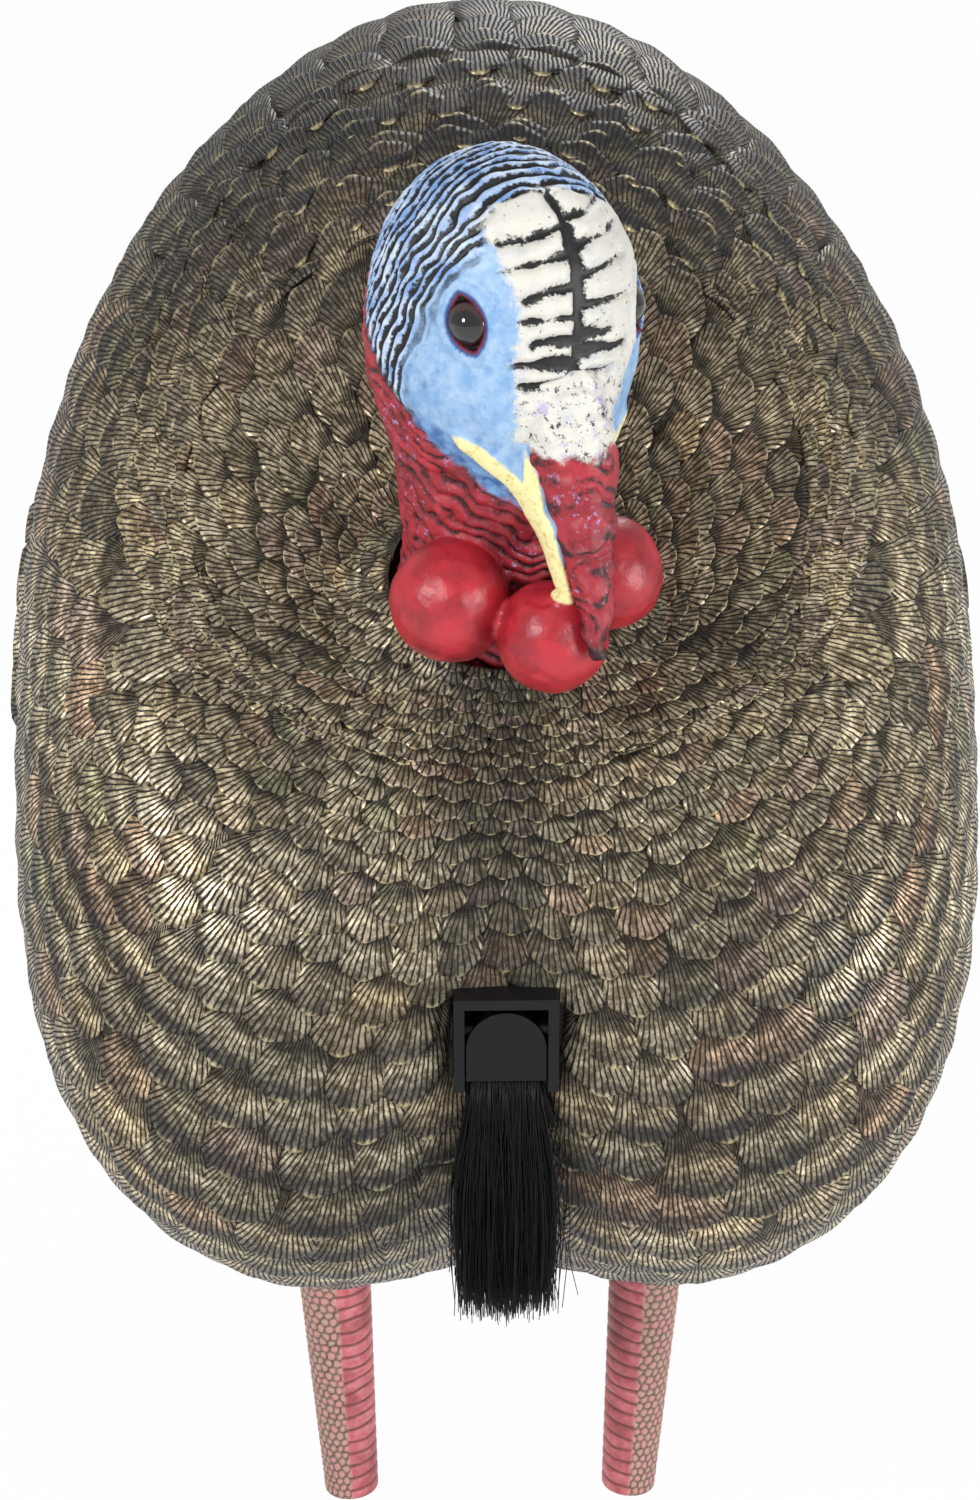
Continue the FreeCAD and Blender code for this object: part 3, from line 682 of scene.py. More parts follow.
# Lattice noise from -1 to 1 with a grain in mm.
def grain(points, size, seed=0):
    table = np.random.default_rng(seed + 100).uniform(-1, 1, 8192)
    q = np.asarray(points) / size
    base = np.floor(q).astype(np.int64)
    f = q - base
    f = f * f * (3 - 2 * f)
    total = 0
    for corner in range(8):
        step = np.array([corner & 1, corner >> 1 & 1, corner >> 2 & 1])
        cell = base + step
        key = (cell[:, 0] * 73856093 ^ cell[:, 1] * 19349663 ^ cell[:, 2] * 83492791) & 8191
        weight = np.prod(np.where(step, f, 1 - f), axis=1)
        total = total + table[key] * weight
    return total


def ellipsoidField(p, centre, radii):
    q = (p - np.array(centre)) / np.array(radii)
    k0 = np.linalg.norm(q, axis=1) + 1e-9
    k1 = np.linalg.norm(q / np.array(radii), axis=1) + 1e-9
    return k0 * (k0 - 1) / k1


# Distance to a chain of spheres joined by cones, and the share along it.
def chainField(p, places, radii):
    places, radii = np.asarray(places, float), np.asarray(radii, float)
    best = np.full(len(p), 1e9)
    for k in range(len(places) - 1):
        line = places[k + 1] - places[k]
        t = np.clip((p - places[k]) @ line / (line @ line), 0, 1)
        d = np.linalg.norm(p - places[k] - t[:, None] * line, axis=1)
        d -= radii[k] + (radii[k + 1] - radii[k]) * t
        best = np.minimum(best, d)
    return best


def blendFields(a, b, soft):
    h = np.clip(0.5 + 0.5 * (b - a) / soft, 0, 1)
    return b * (1 - h) + a * h - soft * h * (1 - h)


def neckLine():
    tilt = math.radians(headShape["neckTilt"])
    axis = np.array([0, -math.sin(tilt), math.cos(tilt)])
    back = np.array([0, math.cos(tilt), math.sin(tilt)])
    foot = np.array(headShape["neckFoot"])
    places = [foot + axis * h + back * b for h, b, _ in headShape["neckRings"]]
    return toHead(places), [r for _, _, r in headShape["neckRings"]], axis @ headAxes().T, toHead(foot[None])[0]


neckPlaces, neckRadii, neckAxis, neckBase = neckLine()


def bulbField(p):
    wobble = grain(p, 16.0, 3) * 0.9
    best = np.full(len(p), 1e9)
    for centre, radius in headShape["bulbs"]:
        best = np.minimum(best, np.linalg.norm((p - np.array(centre)) * (1, 1, 0.97), axis=1) - radius)
    return best + wobble


def lidFields(p):
    opening = np.full(len(p), 1e9)
    ball = np.full(len(p), 1e9)
    for side in (-1, 1):
        centre = np.array(headShape["eye"]) * (side, 1, 1)
        out = np.array([side, 1.0, 0.1])
        out /= np.linalg.norm(out)
        level = np.cross(out, (0, 0, 1.0)) * side
        level *= np.sign(level[1])
        rise = np.cross(level, out)
        rise *= np.sign(rise[2])
        d = p - centre
        a, b, c = d @ level, d @ rise, d @ out
        lean = math.radians(17)
        x, y = a * math.cos(lean) + b * math.sin(lean), -a * math.sin(lean) + b * math.cos(lean)
        # an almond: two arcs that meet at the top and the bottom
        almond = np.hypot(np.abs(x) + 4.8, y) - 10.6
        opening = np.minimum(opening, np.maximum(almond, 1.0 - c))
        ball = np.minimum(ball, np.linalg.norm(d, axis=1) - headShape["eyeRadius"] - 1.3)
    return opening, ball


def headField(p):
    skull = ellipsoidField(p, (0, -1, 0), (43.5, 46.5, 55.5))
    brow = ellipsoidField(p, (0, 20, 12), (30, 28.5, 36))
    field = blendFields(skull, brow, 12)
    muzzle = chainField(p, [(0, 26, -30), (1, 43, -60), (2, 46.5, -83)], [20, 10.0, 4.5])
    field = blendFields(field, muzzle, 9)
    neck = chainField(p, neckPlaces, neckRadii)
    field = blendFields(field, neck, 12)
    field = np.maximum(field, headShape["neckRings"][0][0] - (p - neckBase) @ neckAxis)
    field = blendFields(field, bulbField(p), 2.6)
    opening, ball = lidFields(p)
    field = blendFields(field, ball, 3.5)
    return np.maximum(field, -opening)


def slopeOf(field, p, step=0.35):
    slope = np.stack([field(p + step * e) - field(p - step * e) for e in np.eye(3)], 1) / (2 * step)
    return slope / (np.linalg.norm(slope, axis=1, keepdims=True) + 1e-9)


# A closed mesh on the zero of a field, from lumps remeshed together and pulled on to it.
def castField(name, lumps, field, voxel):
    mesh = bpy.data.meshes.new(name + "Lumps")
    work = bmesh.new()
    for centre, radii in lumps:
        ball = bmesh.ops.create_icosphere(work, subdivisions=4, radius=1.0)
        for v in ball["verts"]:
            v.co = Vector(np.array(centre) + np.array(v.co) * radii)
    work.to_mesh(mesh)
    work.free()
    lump = bpy.data.objects.new(name + "Lumps", mesh)
    bpy.context.scene.collection.objects.link(lump)
    remesh = lump.modifiers.new("skin", "REMESH")
    remesh.mode = "VOXEL"
    remesh.voxel_size = voxel
    skin = bpy.data.meshes.new_from_object(lump.evaluated_get(bpy.context.evaluated_depsgraph_get()))
    bpy.data.objects.remove(lump)
    p = np.zeros(len(skin.vertices) * 3, np.float32)
    skin.vertices.foreach_get("co", p)
    p = p.reshape(-1, 3).astype(float)
    edges = np.zeros(len(skin.edges) * 2, np.int32)
    skin.edges.foreach_get("vertices", edges)
    edges = edges.reshape(-1, 2)
    valence = np.bincount(edges.ravel(), minlength=len(p))[:, None]
    for turn in range(9):
        here = field(p)
        slope = np.stack([field(p + 0.35 * e) - here for e in np.eye(3)], 1)
        slope /= np.linalg.norm(slope, axis=1, keepdims=True) + 1e-9
        p = p - slope * np.clip(here, -3, 3)[:, None]
        if turn < 6:
            total = np.zeros_like(p)
            np.add.at(total, edges[:, 0], p[edges[:, 1]])
            np.add.at(total, edges[:, 1], p[edges[:, 0]])
            p = p + 0.45 * (total / valence - p)
    faces = [list(f.vertices) for f in skin.polygons]
    return p, faces, slopeOf(field, p)


# lines painted on both sides of the beak: places in mm on the left side, and half widths along them
headLines = {
    "gape": [(34, 19, -25), (25, 30, -37), (13.5, 39, -52), (9, 43, -62), (2.5, 46, -84)],
    "gapeWide": [1.8, 3.2, 4.8, 6.0, 4.0],
    "arm": [(15, 42, -35), (13, 42.5, -44), (11, 42, -55)],
    "armWide": [1.4, 3.0, 4.0],
    "crease": [(30, 18, -36), (21, 29, -53), (13, 36, -68), (6, 41, -88)],
    "creaseWide": [0.6, 2.0, 4.2, 4.4],
    "jaw": [(36, 14, -26), (26, 27, -43), (16, 34, -61), (8, 39, -78)],
    "jawWide": [4, 5.6, 7.0, 6.0],
}


# Where the paints of the head lie, in signed mm, positive inside each.
def headPaint(p):
    side, ahead, up = p[:, 0], p[:, 1], p[:, 2]
    rough = grain(p, 7.0, 11)
    groove = np.interp(up, [-30, -12, 6, 30, 46], [-2.0, -1.0, 0.5, 1.0, -1.5]) + 0.7 * grain(p, 5.0, 12)
    across = side - groove
    half = np.interp(up, [-36, -30, -18, 0, 14, 28, 36, 42, 46], [13, 16, 18, 20, 21, 24, 25, 18, 6])
    halfRight = np.interp(up, [-36, -30, -18, 0, 14, 28, 36, 42, 46], [15, 19, 23, 30, 34, 34, 29, 20, 7])
    white = np.where(across < 0, half + across, halfRight - across)
    white = np.minimum(white, np.minimum((46.5 - up) * 1.2, (up + 32.5) * 1.4))
    white = np.where(ahead > 8, white, np.minimum(white, (ahead - 8)))
    # the bars' furrows, lower and closer towards the beak, a little apart on the two sides
    leftRows = np.array([37.5, 29.5, 19.0, 8.5, 1.0, -6.0, -12.0])
    rightRows = np.array([39.0, 30.5, 21.5, 12.0, 2.0, -3.5, -11.5])
    furrow = np.full(len(p), 1e9)
    for rows, mask, lean in ((leftRows, across < 0, -0.16), (rightRows, across >= 0, 0.10)):
        reach = np.abs(across)
        for k, row in enumerate(rows):
            bend = row + lean * reach * (1.6 if k < 3 else 0.4) + 1.2 * grain(p, 9.0, 20 + k)
            width = 1.35 + 1.1 * grain(p, 5.0, 40 + k) + (1.0 if k in (4, 5) else 0.2) - reach * 0.06
            span = (24 if k in (0, 1, 2) else 19) * (1 + 0.25 * math.sin(k * 2.7 + lean))
            d = np.abs(up - bend) - width + np.maximum(reach - span, 0) * 1.2
            furrow = np.where(mask, np.minimum(furrow, d), furrow)
    furrow = np.where(ahead > 8, furrow, 1e9)
    middle = np.abs(across) - (2.2 + 1.2 * grain(p, 5.0, 60))
    middle = middle + np.maximum(up - 45, 0) + np.maximum(-15 - up, 0) * 0.8
    middle = np.where(ahead > 8, middle, 1e9)
    edgeUp = np.interp(ahead, [-50, -30, -15, 15, 30, 42], [46, 28, 0, -29, -48, -72])
    red = edgeUp - up + 2.2 * rough
    # crown: everything behind the face, which ends on an arc round the eye
    face = np.degrees(np.arccos(np.clip((p @ np.array([0, 0.93, -0.36])) / np.linalg.norm(p, axis=1), -1, 1)))
    crown = (face - 66) * 0.8 + np.maximum(up - 30, 0) * 0.5 + 2.0 * rough
    crownCount = face * 0.8 / 4.0 + 0.75 * grain(p, 15.0, 13) + 0.38 * grain(p, 5.0, 15)
    neckCount = (up * 0.83 + ahead * 0.45 - np.abs(side) * 0.25) / 6.0
    neckCount = neckCount + 0.9 * grain(p, 15.0, 14) + 0.4 * grain(p, 5.0, 16)
    beak, shade, lower = np.full(len(p), -1e9), np.full(len(p), 1e9), np.full(len(p), -1e9)
    for s in (-1, 1):
        c = np.array([s, 1, 1])
        upper = chainField(p, c * np.array(headLines["gape"]), headLines["gapeWide"])
        arm = chainField(p, c * np.array(headLines["arm"]), headLines["armWide"])
        beak = np.maximum(beak, -np.minimum(upper, arm))
        line = chainField(p, c * np.array(headLines["crease"]), headLines["creaseWide"])
        shade = np.minimum(shade, line)
        strip = chainField(p, c * np.array(headLines["jaw"]), headLines["jawWide"])
        lower = np.maximum(lower, -strip)
    bulb = -bulbField(p)
    return dict(white=white, furrow=np.minimum(furrow, middle), middle=middle, red=red, crown=crown,
                crownCount=crownCount, neckCount=neckCount, beak=beak, shade=shade, strip=lower, bulb=bulb)


# Raises bars, wrinkles and folds along the skin's normals, in mm.
def headRelief(p, paint):
    opening, ball = lidFields(p)
    lid = np.abs(opening)
    calm = smoothStep(0.5, 7, ball + 1.3)
    inWhite = smoothStep(-2, 3, paint["white"]) * smoothStep(0, 6, opening)
    bars = -1.9 * np.exp(-np.maximum(paint["furrow"] + 0.8, 0) ** 2 / 2.2) + 0.9 * np.clip(paint["furrow"] / 4, 0, 1)
    relief = inWhite * bars
    ridge = 0.5 - 0.5 * np.cos(2 * math.pi * paint["crownCount"])
    ridge = ridge ** 0.7
    free = (1 - smoothStep(-2, 2, paint["white"])) * calm
    onCrown = smoothStep(-3, 3, paint["crown"]) * (1 - smoothStep(-2, 4, paint["red"]))
    relief += free * onCrown * (ridge - 0.5) * 1.5
    fold = 0.5 - 0.5 * np.cos(2 * math.pi * paint["neckCount"])
    onNeck = smoothStep(-2, 4, paint["red"]) * (1 - smoothStep(-3, 0.5, paint["bulb"]))
    onNeck = onNeck * (1 - smoothStep(-5, 0, paint["beak"]))
    foot = smoothStep(6, 14, (p - neckBase) @ neckAxis)
    relief += onNeck * free * foot * ((fold ** 0.6 - 0.5) * 1.7 + 0.5 * grain(p, 4.0, 71))
    relief += smoothStep(-1.2, 0.6, paint["beak"]) * 1.7
    relief -= 1.3 * np.exp(-np.maximum(paint["shade"], 0) ** 2 / 3.0)
    rings = np.exp(-((opening - 3.2) / 1.2) ** 2) * 0.55 - np.exp(-((opening - 5.4) / 1.0) ** 2) * 0.5
    relief += rings * (paint["crown"] < 6) + np.exp(-(lid / 1.3) ** 2) * 0.7
    relief += 0.22 * grain(p, 3.2, 72) * calm
    relief += 0.35 * grain(p, 11.0, 73) * calm * (1 - smoothStep(-3, 1, paint["bulb"]))
    return relief


headPaints = {
    "face": "#769fcb", "faceLight": "#a3bfdb", "faceDeep": "#3c66a0",
    "crownBlack": "#08090c", "crownBlue": "#7399cf", "crownWhite": "#c6d5e8",
    "white": "#d3d0c7", "whiteShade": "#bfc2c6", "black": "#0b0b0e",
    "red": "#ad2a37", "redDeep": "#761823", "bulb": "#b42935", "lilac": "#a79fd0",
    "beak": "#ece2a6", "beakShade": "#c9bb6f",
    "lidBlue": "#2b4f8c", "lidRed": "#7e1b2a",
}

# size in mm, detail and roughness of the noises in the head's paint
headGrains = {
    "fine": (1.1, 4, 0.6), "mid": (5.0, 4, 0.6), "broad": (16.0, 3, 0.6), "deep": (8.0, 5, 0.7),
    "tops": (9.0, 4, 0.6), "wash": (6.0, 5, 0.75), "fleck": (2.6, 5, 0.8), "patch": (17.0, 4, 0.6),
    "gloss": (12.0, 3, 0.6), "dots": (1.6, 3, 0.6), "mottle": (3.4, 6, 0.8), "lilac": (5.5, 4, 0.6),
    "beak": (3.0, 4, 0.6), "specks": (1.4, 4, 0.6), "pores": (2.2, 6, 0.7),
}


# Fields that the head's paint reads, three to an attribute: name, value where missing, clipped or not.
paintFields = {
    "paintA": (("white", -9.0, False), ("red", 9.0, False), ("furrow", 9.0, True)),
    "paintB": (("shade", 9.0, True), ("crown", -9.0, False), ("strip", -9.0, True)),
    "paintC": (("crownCount", 0.0, False), ("neckCount", 0.0, False), ("bulb", -9.0, True)),
    "paintD": (("beak", -9.0, True), ("height", 0.0, False), ("opening", 0.0, True)),
}


# Soft vinyl head, hand painted: satin enamel with black wash left in the wrinkles, wet-look red bulbs.
def headMaterial(name, paint, red=False):
    material, tree, shader = newMaterial(name)
    place = addNode(tree, "TexCoord").outputs["Object"]
    noise = {key: addNode(tree, "TexNoise", {"Vector": place, "Scale": 1 / (size * mm), "Detail": detail,
                                             "Roughness": rough}).outputs[0]
             for key, (size, detail, rough) in headGrains.items()}
    rgb = {key: colour(hexText) for key, hexText in paint.items()}
    fields = [addNode(tree, "Attribute", attribute_name=name).outputs["Vector"] for name in paintFields]
    one, two, three, four = [addNode(tree, "SeparateXYZ", {"Vector": field}).outputs for field in fields]

    # Frays a field by noise: grain in mm, depth in the field's units.
    def torn(value, size, depth, detail=5.0, rough=0.7):
        shake = addNode(tree, "TexNoise", {"Vector": place, "Scale": 1 / (size * mm), "Detail": detail,
                                           "Roughness": rough}).outputs[0]
        shake = addNode(tree, "Math", {0: shake, 1: 0.5}, operation="SUBTRACT").outputs[0]
        return addNode(tree, "Math", {0: shake, 1: depth, 2: value}, operation="MULTIPLY_ADD").outputs[0]

    # Cosine of a field that counts ridges.
    def waves(value):
        turn = addNode(tree, "Math", {0: value, 1: 2 * math.pi}, operation="MULTIPLY").outputs[0]
        return addNode(tree, "Math", {0: turn}, operation="COSINE").outputs[0]

    # Share of a mask where value runs from low to high.
    def masked(value, low, high, within):
        share = addNode(tree, "MapRange", {"Value": value, "From Min": low, "From Max": high}).outputs[0]
        return addNode(tree, "Math", {0: share, 1: within}, operation="MULTIPLY").outputs[0]

    base = coat(tree, rgb["face"], noise["mid"], 0.35, 0.7, rgb["faceLight"])
    base = coat(tree, base, noise["deep"], 0.56, 0.72, rgb["faceDeep"], 0.6)
    # crown: black wash in the furrows, blue and white on the ridges
    ridge = waves(torn(three[0], 3.0, 0.9))
    lifted = addNode(tree, "Math", {0: noise["mid"], 1: 1.1}, operation="MULTIPLY").outputs[0]
    ridge = addNode(tree, "Math", {0: lifted, 1: ridge}, operation="SUBTRACT").outputs[0]
    tops = coat(tree, rgb["crownBlue"], noise["tops"], 0.38, 0.62, rgb["crownWhite"])
    crown = coat(tree, rgb["crownBlack"], ridge, 0.42, 1.15, tops)
    base = coat(tree, base, torn(two[1], 6.0, 16.0), -2, 5, crown)
    # neck: reds with lilac flecks and black wash in the folds
    reds = coat(tree, rgb["red"], noise["broad"], 0.35, 0.65, rgb["redDeep"])
    reds = coat(tree, reds, noise["mid"], 0.45, 0.7, rgb["bulb"], 0.6)
    fleck = masked(noise["fleck"], 0.57, 0.62, 0.85)
    reds = coat(tree, reds, noise["patch"], 0.45, 0.6, rgb["lilac"], within=fleck)
    wash = masked(waves(torn(three[1], 4.0, 0.6)), 0.15, 0.85, 0.9)
    reds = coat(tree, reds, noise["wash"], 0.42, 0.52, rgb["black"], within=wash)
    base = coat(tree, base, torn(one[1], 5.0, 9.0), -0.6, 0.8, reds)
    # black wash lies in the fold where blue meets red
    seam = addNode(tree, "Math", {0: torn(one[1], 6.0, 12.0)}, operation="ABSOLUTE").outputs[0]
    base = coat(tree, base, seam, 2.4, 0.6, rgb["black"], 0.75)
    blues = coat(tree, rgb["face"], noise["mid"], 0.4, 0.65, rgb["faceDeep"])
    base = coat(tree, base, torn(two[2], 4.0, 4.0), -0.8, 0.8, blues)
    bulb = coat(tree, rgb["bulb"], noise["gloss"], 0.4, 0.75, rgb["redDeep"])
    base = coat(tree, base, torn(three[2], 3.0, 1.5), -1.2, -0.2, bulb)
    # white cap, mottled towards the beak
    lower = addNode(tree, "MapRange", {"Value": four[1], "From Min": -4, "From Max": -16}).outputs[0]
    whites = coat(tree, rgb["white"], noise["mid"], 0.5, 0.75, rgb["whiteShade"])
    whites = coat(tree, whites, noise["lilac"], 0.56, 0.66, rgb["lilac"], 0.7, lower)
    dots = addNode(tree, "MapRange", {"Value": noise["dots"], "From Min": 0.66, "From Max": 0.70}).outputs[0]
    dots = addNode(tree, "Math", {0: dots, 1: masked(noise["mottle"], 0.56, 0.60, lower)},
                   operation="MAXIMUM").outputs[0]
    whites = coat(tree, whites, dots, 0, 1, rgb["black"])
    base = coat(tree, base, torn(one[0], 3.0, 9.0), -0.8, 1.6, whites)
    if red:
        base = coat(tree, base, four[1], -94, -100, rgb["black"], 0.85)
    else:
        cut = masked(torn(one[2], 1.5, 3.8), 0.35, -0.15, 1.0)
        base = coat(tree, base, one[0], -2.5, 0.5, rgb["black"], within=cut)
        shade = masked(three[2], -0.6, -1.4, masked(torn(two[0], 2.5, 2.5), 1.4, -0.4, 1.0))
        base = coat(tree, base, four[1], -50, -66, rgb["black"], within=shade)
        beak = coat(tree, rgb["beak"], noise["beak"], 0.5, 0.7, rgb["beakShade"])
        beak = coat(tree, beak, noise["specks"], 0.66, 0.70, rgb["black"])
        base = coat(tree, base, torn(four[0], 2.0, 1.2), -0.2, 0.5, beak)
        # rims of the eye's opening, from the outside in
        for low, high, key in ((1.9, 1.2, "lidBlue"), (1.0, 0.6, "lidRed"), (0.5, 0.1, "black")):
            base = coat(tree, base, four[2], low, high, rgb[key])
    tree.links.new(base, shader.inputs["Base Color"])
    wet = [addNode(tree, "MapRange", {"Value": value, "From Min": low, "From Max": high}).outputs[0]
           for value, low, high in ((three[2], -1.0, 0.5), (noise["fine"], 0.72, 0.8))]
    wet = addNode(tree, "Math", {0: wet[0], 1: wet[1]}, operation="MAXIMUM").outputs[0]
    rough = addNode(tree, "MapRange", {"Value": wet, "To Min": 0.46, "To Max": 0.17})
    tree.links.new(rough.outputs[0], shader.inputs["Roughness"])
    relief = addNode(tree, "Math", {0: noise["fine"], 1: 0.5, 2: noise["pores"]},
                     operation="MULTIPLY_ADD").outputs[0]
    bump = addNode(tree, "Bump", {"Height": relief, "Strength": 0.35, "Distance": 0.5 * mm})
    tree.links.new(bump.outputs["Normal"], shader.inputs["Normal"])
    return material


def addPaint(piece, paint, p, opening):
    paint = dict(paint, height=p[:, 2], opening=opening)
    for name, fields in paintFields.items():
        columns = [paint.get(key, np.full(len(p), missing)) for key, missing, _ in fields]
        columns = [np.clip(c, -9, 9) if clipped else c for c, (_, _, clipped) in zip(columns, fields)]
        setVectors(piece.data, name, np.stack(columns, 1))


def buildHead():
    lumps = [((0, 0, 0), (44, 47, 56)), ((0, 20, 12), (30, 29, 36))]
    for places, radii in ((neckPlaces, neckRadii), ([(0, 26, -30), (1, 43, -60), (2, 46, -80)], (20, 12, 7))):
        for k in range(len(places) - 1):
            for t in np.linspace(0, 1, 6):
                radius = radii[k] * (1 - t) + radii[k + 1] * t
                centre = np.array(places[k]) * (1 - t) + np.array(places[k + 1]) * t
                lumps.append((centre, np.full(3, radius)))
    lumps += [(centre, np.full(3, radius)) for centre, radius in headShape["bulbs"]]
    p, faces, normals = castField("head", lumps, headField, headShape["voxel"])
    paint = headPaint(p)
    p2 = p + normals * headRelief(p, paint)[:, None]
    vinyl = headMaterial("paintedVinylHead", headPaints)
    piece = makePiece("head_skin", fromHead(p2) * mm, faces, "head", vinyl)
    addPaint(piece, paint, p, lidFields(p)[0])
    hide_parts("head")
    return piece


snoodShape = {
    "line": [(1, 35, -22), (2, 41, -37), (3, 47, -53), (3.5, 51, -70), (4, 55.5, -86), (2.5, 58.5, -101)],
    "radii": [17.0, 15.5, 11.5, 8.4, 6.0, 3.0],
    "voxel": 0.75,
}


def buildSnood():
    def field(p):
        d = chainField(p, snoodShape["line"], snoodShape["radii"])
        return d + 0.8 * grain(p, 6.0, 81)

    lumps = []
    line, radii = np.array(snoodShape["line"], float), np.array(snoodShape["radii"])
    for k in range(len(line) - 1):
        for t in np.linspace(0, 1, 5):
            lumps.append((line[k] * (1 - t) + line[k + 1] * t, np.full(3, radii[k] * (1 - t) + radii[k + 1] * t)))
    p, faces, normals = castField("snood", lumps, field, snoodShape["voxel"])
    white = (p[:, 2] + 36) * 0.9 + 3 * grain(p, 5.0, 82)
    folds = np.cos(2 * math.pi * (p[:, 2] / 9.0 + 1.1 * grain(p, 8.0, 83)))
    p2 = p + normals * (0.35 * folds + 0.6 * grain(p, 3.5, 84))[:, None]
    vinyl = headMaterial("paintedVinylSnood", headPaints, True)
    piece = makePiece("snood_skin", fromHead(p2) * mm, faces, "head", vinyl)
    allRed = np.full(len(p), 9.0)
    folds = p[:, 2] / 9.0 + 1.1 * grain(p, 8.0, 83)
    addPaint(piece, dict(white=white, red=allRed, neckCount=folds), p, allRed)
    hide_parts("snood")


# Glass-clear coat over a painted brown iris: a black pupil, a dark ring and one bright reflection.
def eyeMaterial(name, centre, out):
    material, tree, shader = newMaterial(name)
    place = addNode(tree, "TexCoord").outputs["Object"]
    away = addNode(tree, "VectorMath", {0: place, 1: tuple(centre)}, operation="SUBTRACT").outputs["Vector"]
    facing = addNode(tree, "VectorMath", {0: away, 1: tuple(out)}, operation="DOT_PRODUCT").outputs["Value"]
    wide = addNode(tree, "VectorMath", {0: away}, operation="LENGTH").outputs["Value"]
    share = addNode(tree, "Math", {0: facing, 1: wide}, operation="DIVIDE").outputs[0]
    streaks = addNode(tree, "TexNoise", {"Vector": place, "Scale": 1 / (1.2 * mm), "Detail": 4.0,
                                         "Roughness": 0.6}).outputs[0]
    iris = coat(tree, colour("#1d0f0e"), streaks, 0.3, 0.7, colour("#43241e"))
    base = coat(tree, iris, share, 0.80, 0.84, colour("#050406"))
    base = coat(tree, base, share, 0.62, 0.50, colour("#120a0c"))
    tree.links.new(base, shader.inputs["Base Color"])
    shader.inputs["Roughness"].default_value = 0.05
    shader.inputs["Coat Weight"].default_value = 1.0
    shader.inputs["Coat Roughness"].default_value = 0.02
    return material


# An eyeball with a low cornea, turned so that its pupil looks out of the lids.
def buildEye(name, node, side):
    centre = fromHead(np.array(headShape["eye"]) * (side, 1, 1)) * mm
    out = (np.array([side * 0.72, 0.70, -0.02]) @ headAxes())
    out /= np.linalg.norm(out)
    across = np.cross(out, (0, 0, 1.0))
    across /= np.linalg.norm(across)
    rise = np.cross(across, out)
    vertices, faces = [], []
    rows, columns = 28, 48
    for i in range(rows + 1):
        bend = math.pi * 0.62 * i / rows
        radius = headShape["eyeRadius"] + 0.55 * math.exp(-(bend / 0.42) ** 2)
        for j in range(columns):
            turn = 2 * math.pi * j / columns
            flat = radius * math.sin(bend)
            vertices.append(centre + mm * (out * radius * math.cos(bend)
                                           + across * flat * math.cos(turn) + rise * flat * math.sin(turn)))
    for i in range(rows):
        for j in range(columns):
            k = (j + 1) % columns
            if i:
                faces.append((i * columns + j, (i + 1) * columns + j, (i + 1) * columns + k, i * columns + k))
            else:
                faces.append((j, columns + j, columns + k))
    faces.append([rows * columns + j for j in range(columns)])
    piece = makePiece(name, vertices, faces, "head", eyeMaterial(name + "Glass", centre, out))
    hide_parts(node)


buildHead()
buildSnood()
buildEye("left_eye_glass", "left_eye", 1)
buildEye("right_eye_glass", "right_eye", -1)
say("head painted")
wingPaint = dict(featherPaint, ridge="#857a5c", groove="#15120d", band="#0f1015")


def wingPlan(side):
    dice = np.random.default_rng(31 if side > 0 else 32)
    flat = skinPoints.reshape(-1, 3)
    onSide = np.where(flat[:, 0] * side > 0.135)[0]
    plan = []
    for k, (first, last, count, length, width, lean) in enumerate(wingShape["rows"]):
        for i in range(count):
            t = i / (count - 1)
            y = first[0] * (1 - t) + last[0] * t + 0.52 * length * math.cos(math.radians(lean)) + dice.normal(0, 2)
            z = first[1] * (1 - t) + last[1] * t + 0.52 * length * math.sin(math.radians(lean)) * (1 - 0.5 * t)
            z = z if k else z + (0.5 - t) * -38
            near = onSide[np.argmin((flat[onSide, 1] - y * mm) ** 2 + (flat[onSide, 2] - z * mm) ** 2)]
            row, column = divmod(near, len(angles))
            u, angle = us[row], angles[column]
            tangentU = alongU[row, column] / np.linalg.norm(alongU[row, column])
            tangentA = alongAngle[row, column] / np.linalg.norm(alongAngle[row, column])
            bend = math.radians(lean + (t - 0.4) * (34 if k == 0 else 16))
            way = np.array([0, math.cos(bend), math.sin(bend)])
            spin = math.atan2(-(way @ tangentA), way @ tangentU)
            tint = tintOf(u, angle, dice, flat[near])
            plan.append((u, angle, length * mm, width * mm * 1.12, 3.4 * mm, spin,
                         (0.4 + 1.1 * (1 - t) + 0.9 * k) * mm, *tint))
    return plan


# beard
beardShape = {
    "pin": (0.0, -267.891, 184.0), "root": -15.0, "length": 96.0, "halfWidth": 11.5, "halfThick": 3.0,
    "spread": 1.36, "strands": 1150, "strandWidth": 0.62,
}


# Nylon bristle: deep black, a soft sheen along each strand.
def bristleMaterial():
    material, tree, shader = newMaterial("extrudedNylonBristle")
    place = addNode(tree, "TexCoord").outputs["Object"]
    tone = addNode(tree, "TexNoise", {"Vector": place, "Scale": 1 / (2.5 * mm), "Detail": 3.0,
                                      "Roughness": 0.6}).outputs[0]
    tree.links.new(coat(tree, colour("#030304"), tone, 0.3, 0.75, colour("#0c0c0f")), shader.inputs["Base Color"])
    shader.inputs["Specular IOR Level"].default_value = 0.25
    rough = addNode(tree, "MapRange", {"Value": tone, "To Min": 0.34, "To Max": 0.55})
    tree.links.new(rough.outputs[0], shader.inputs["Roughness"])
    return material


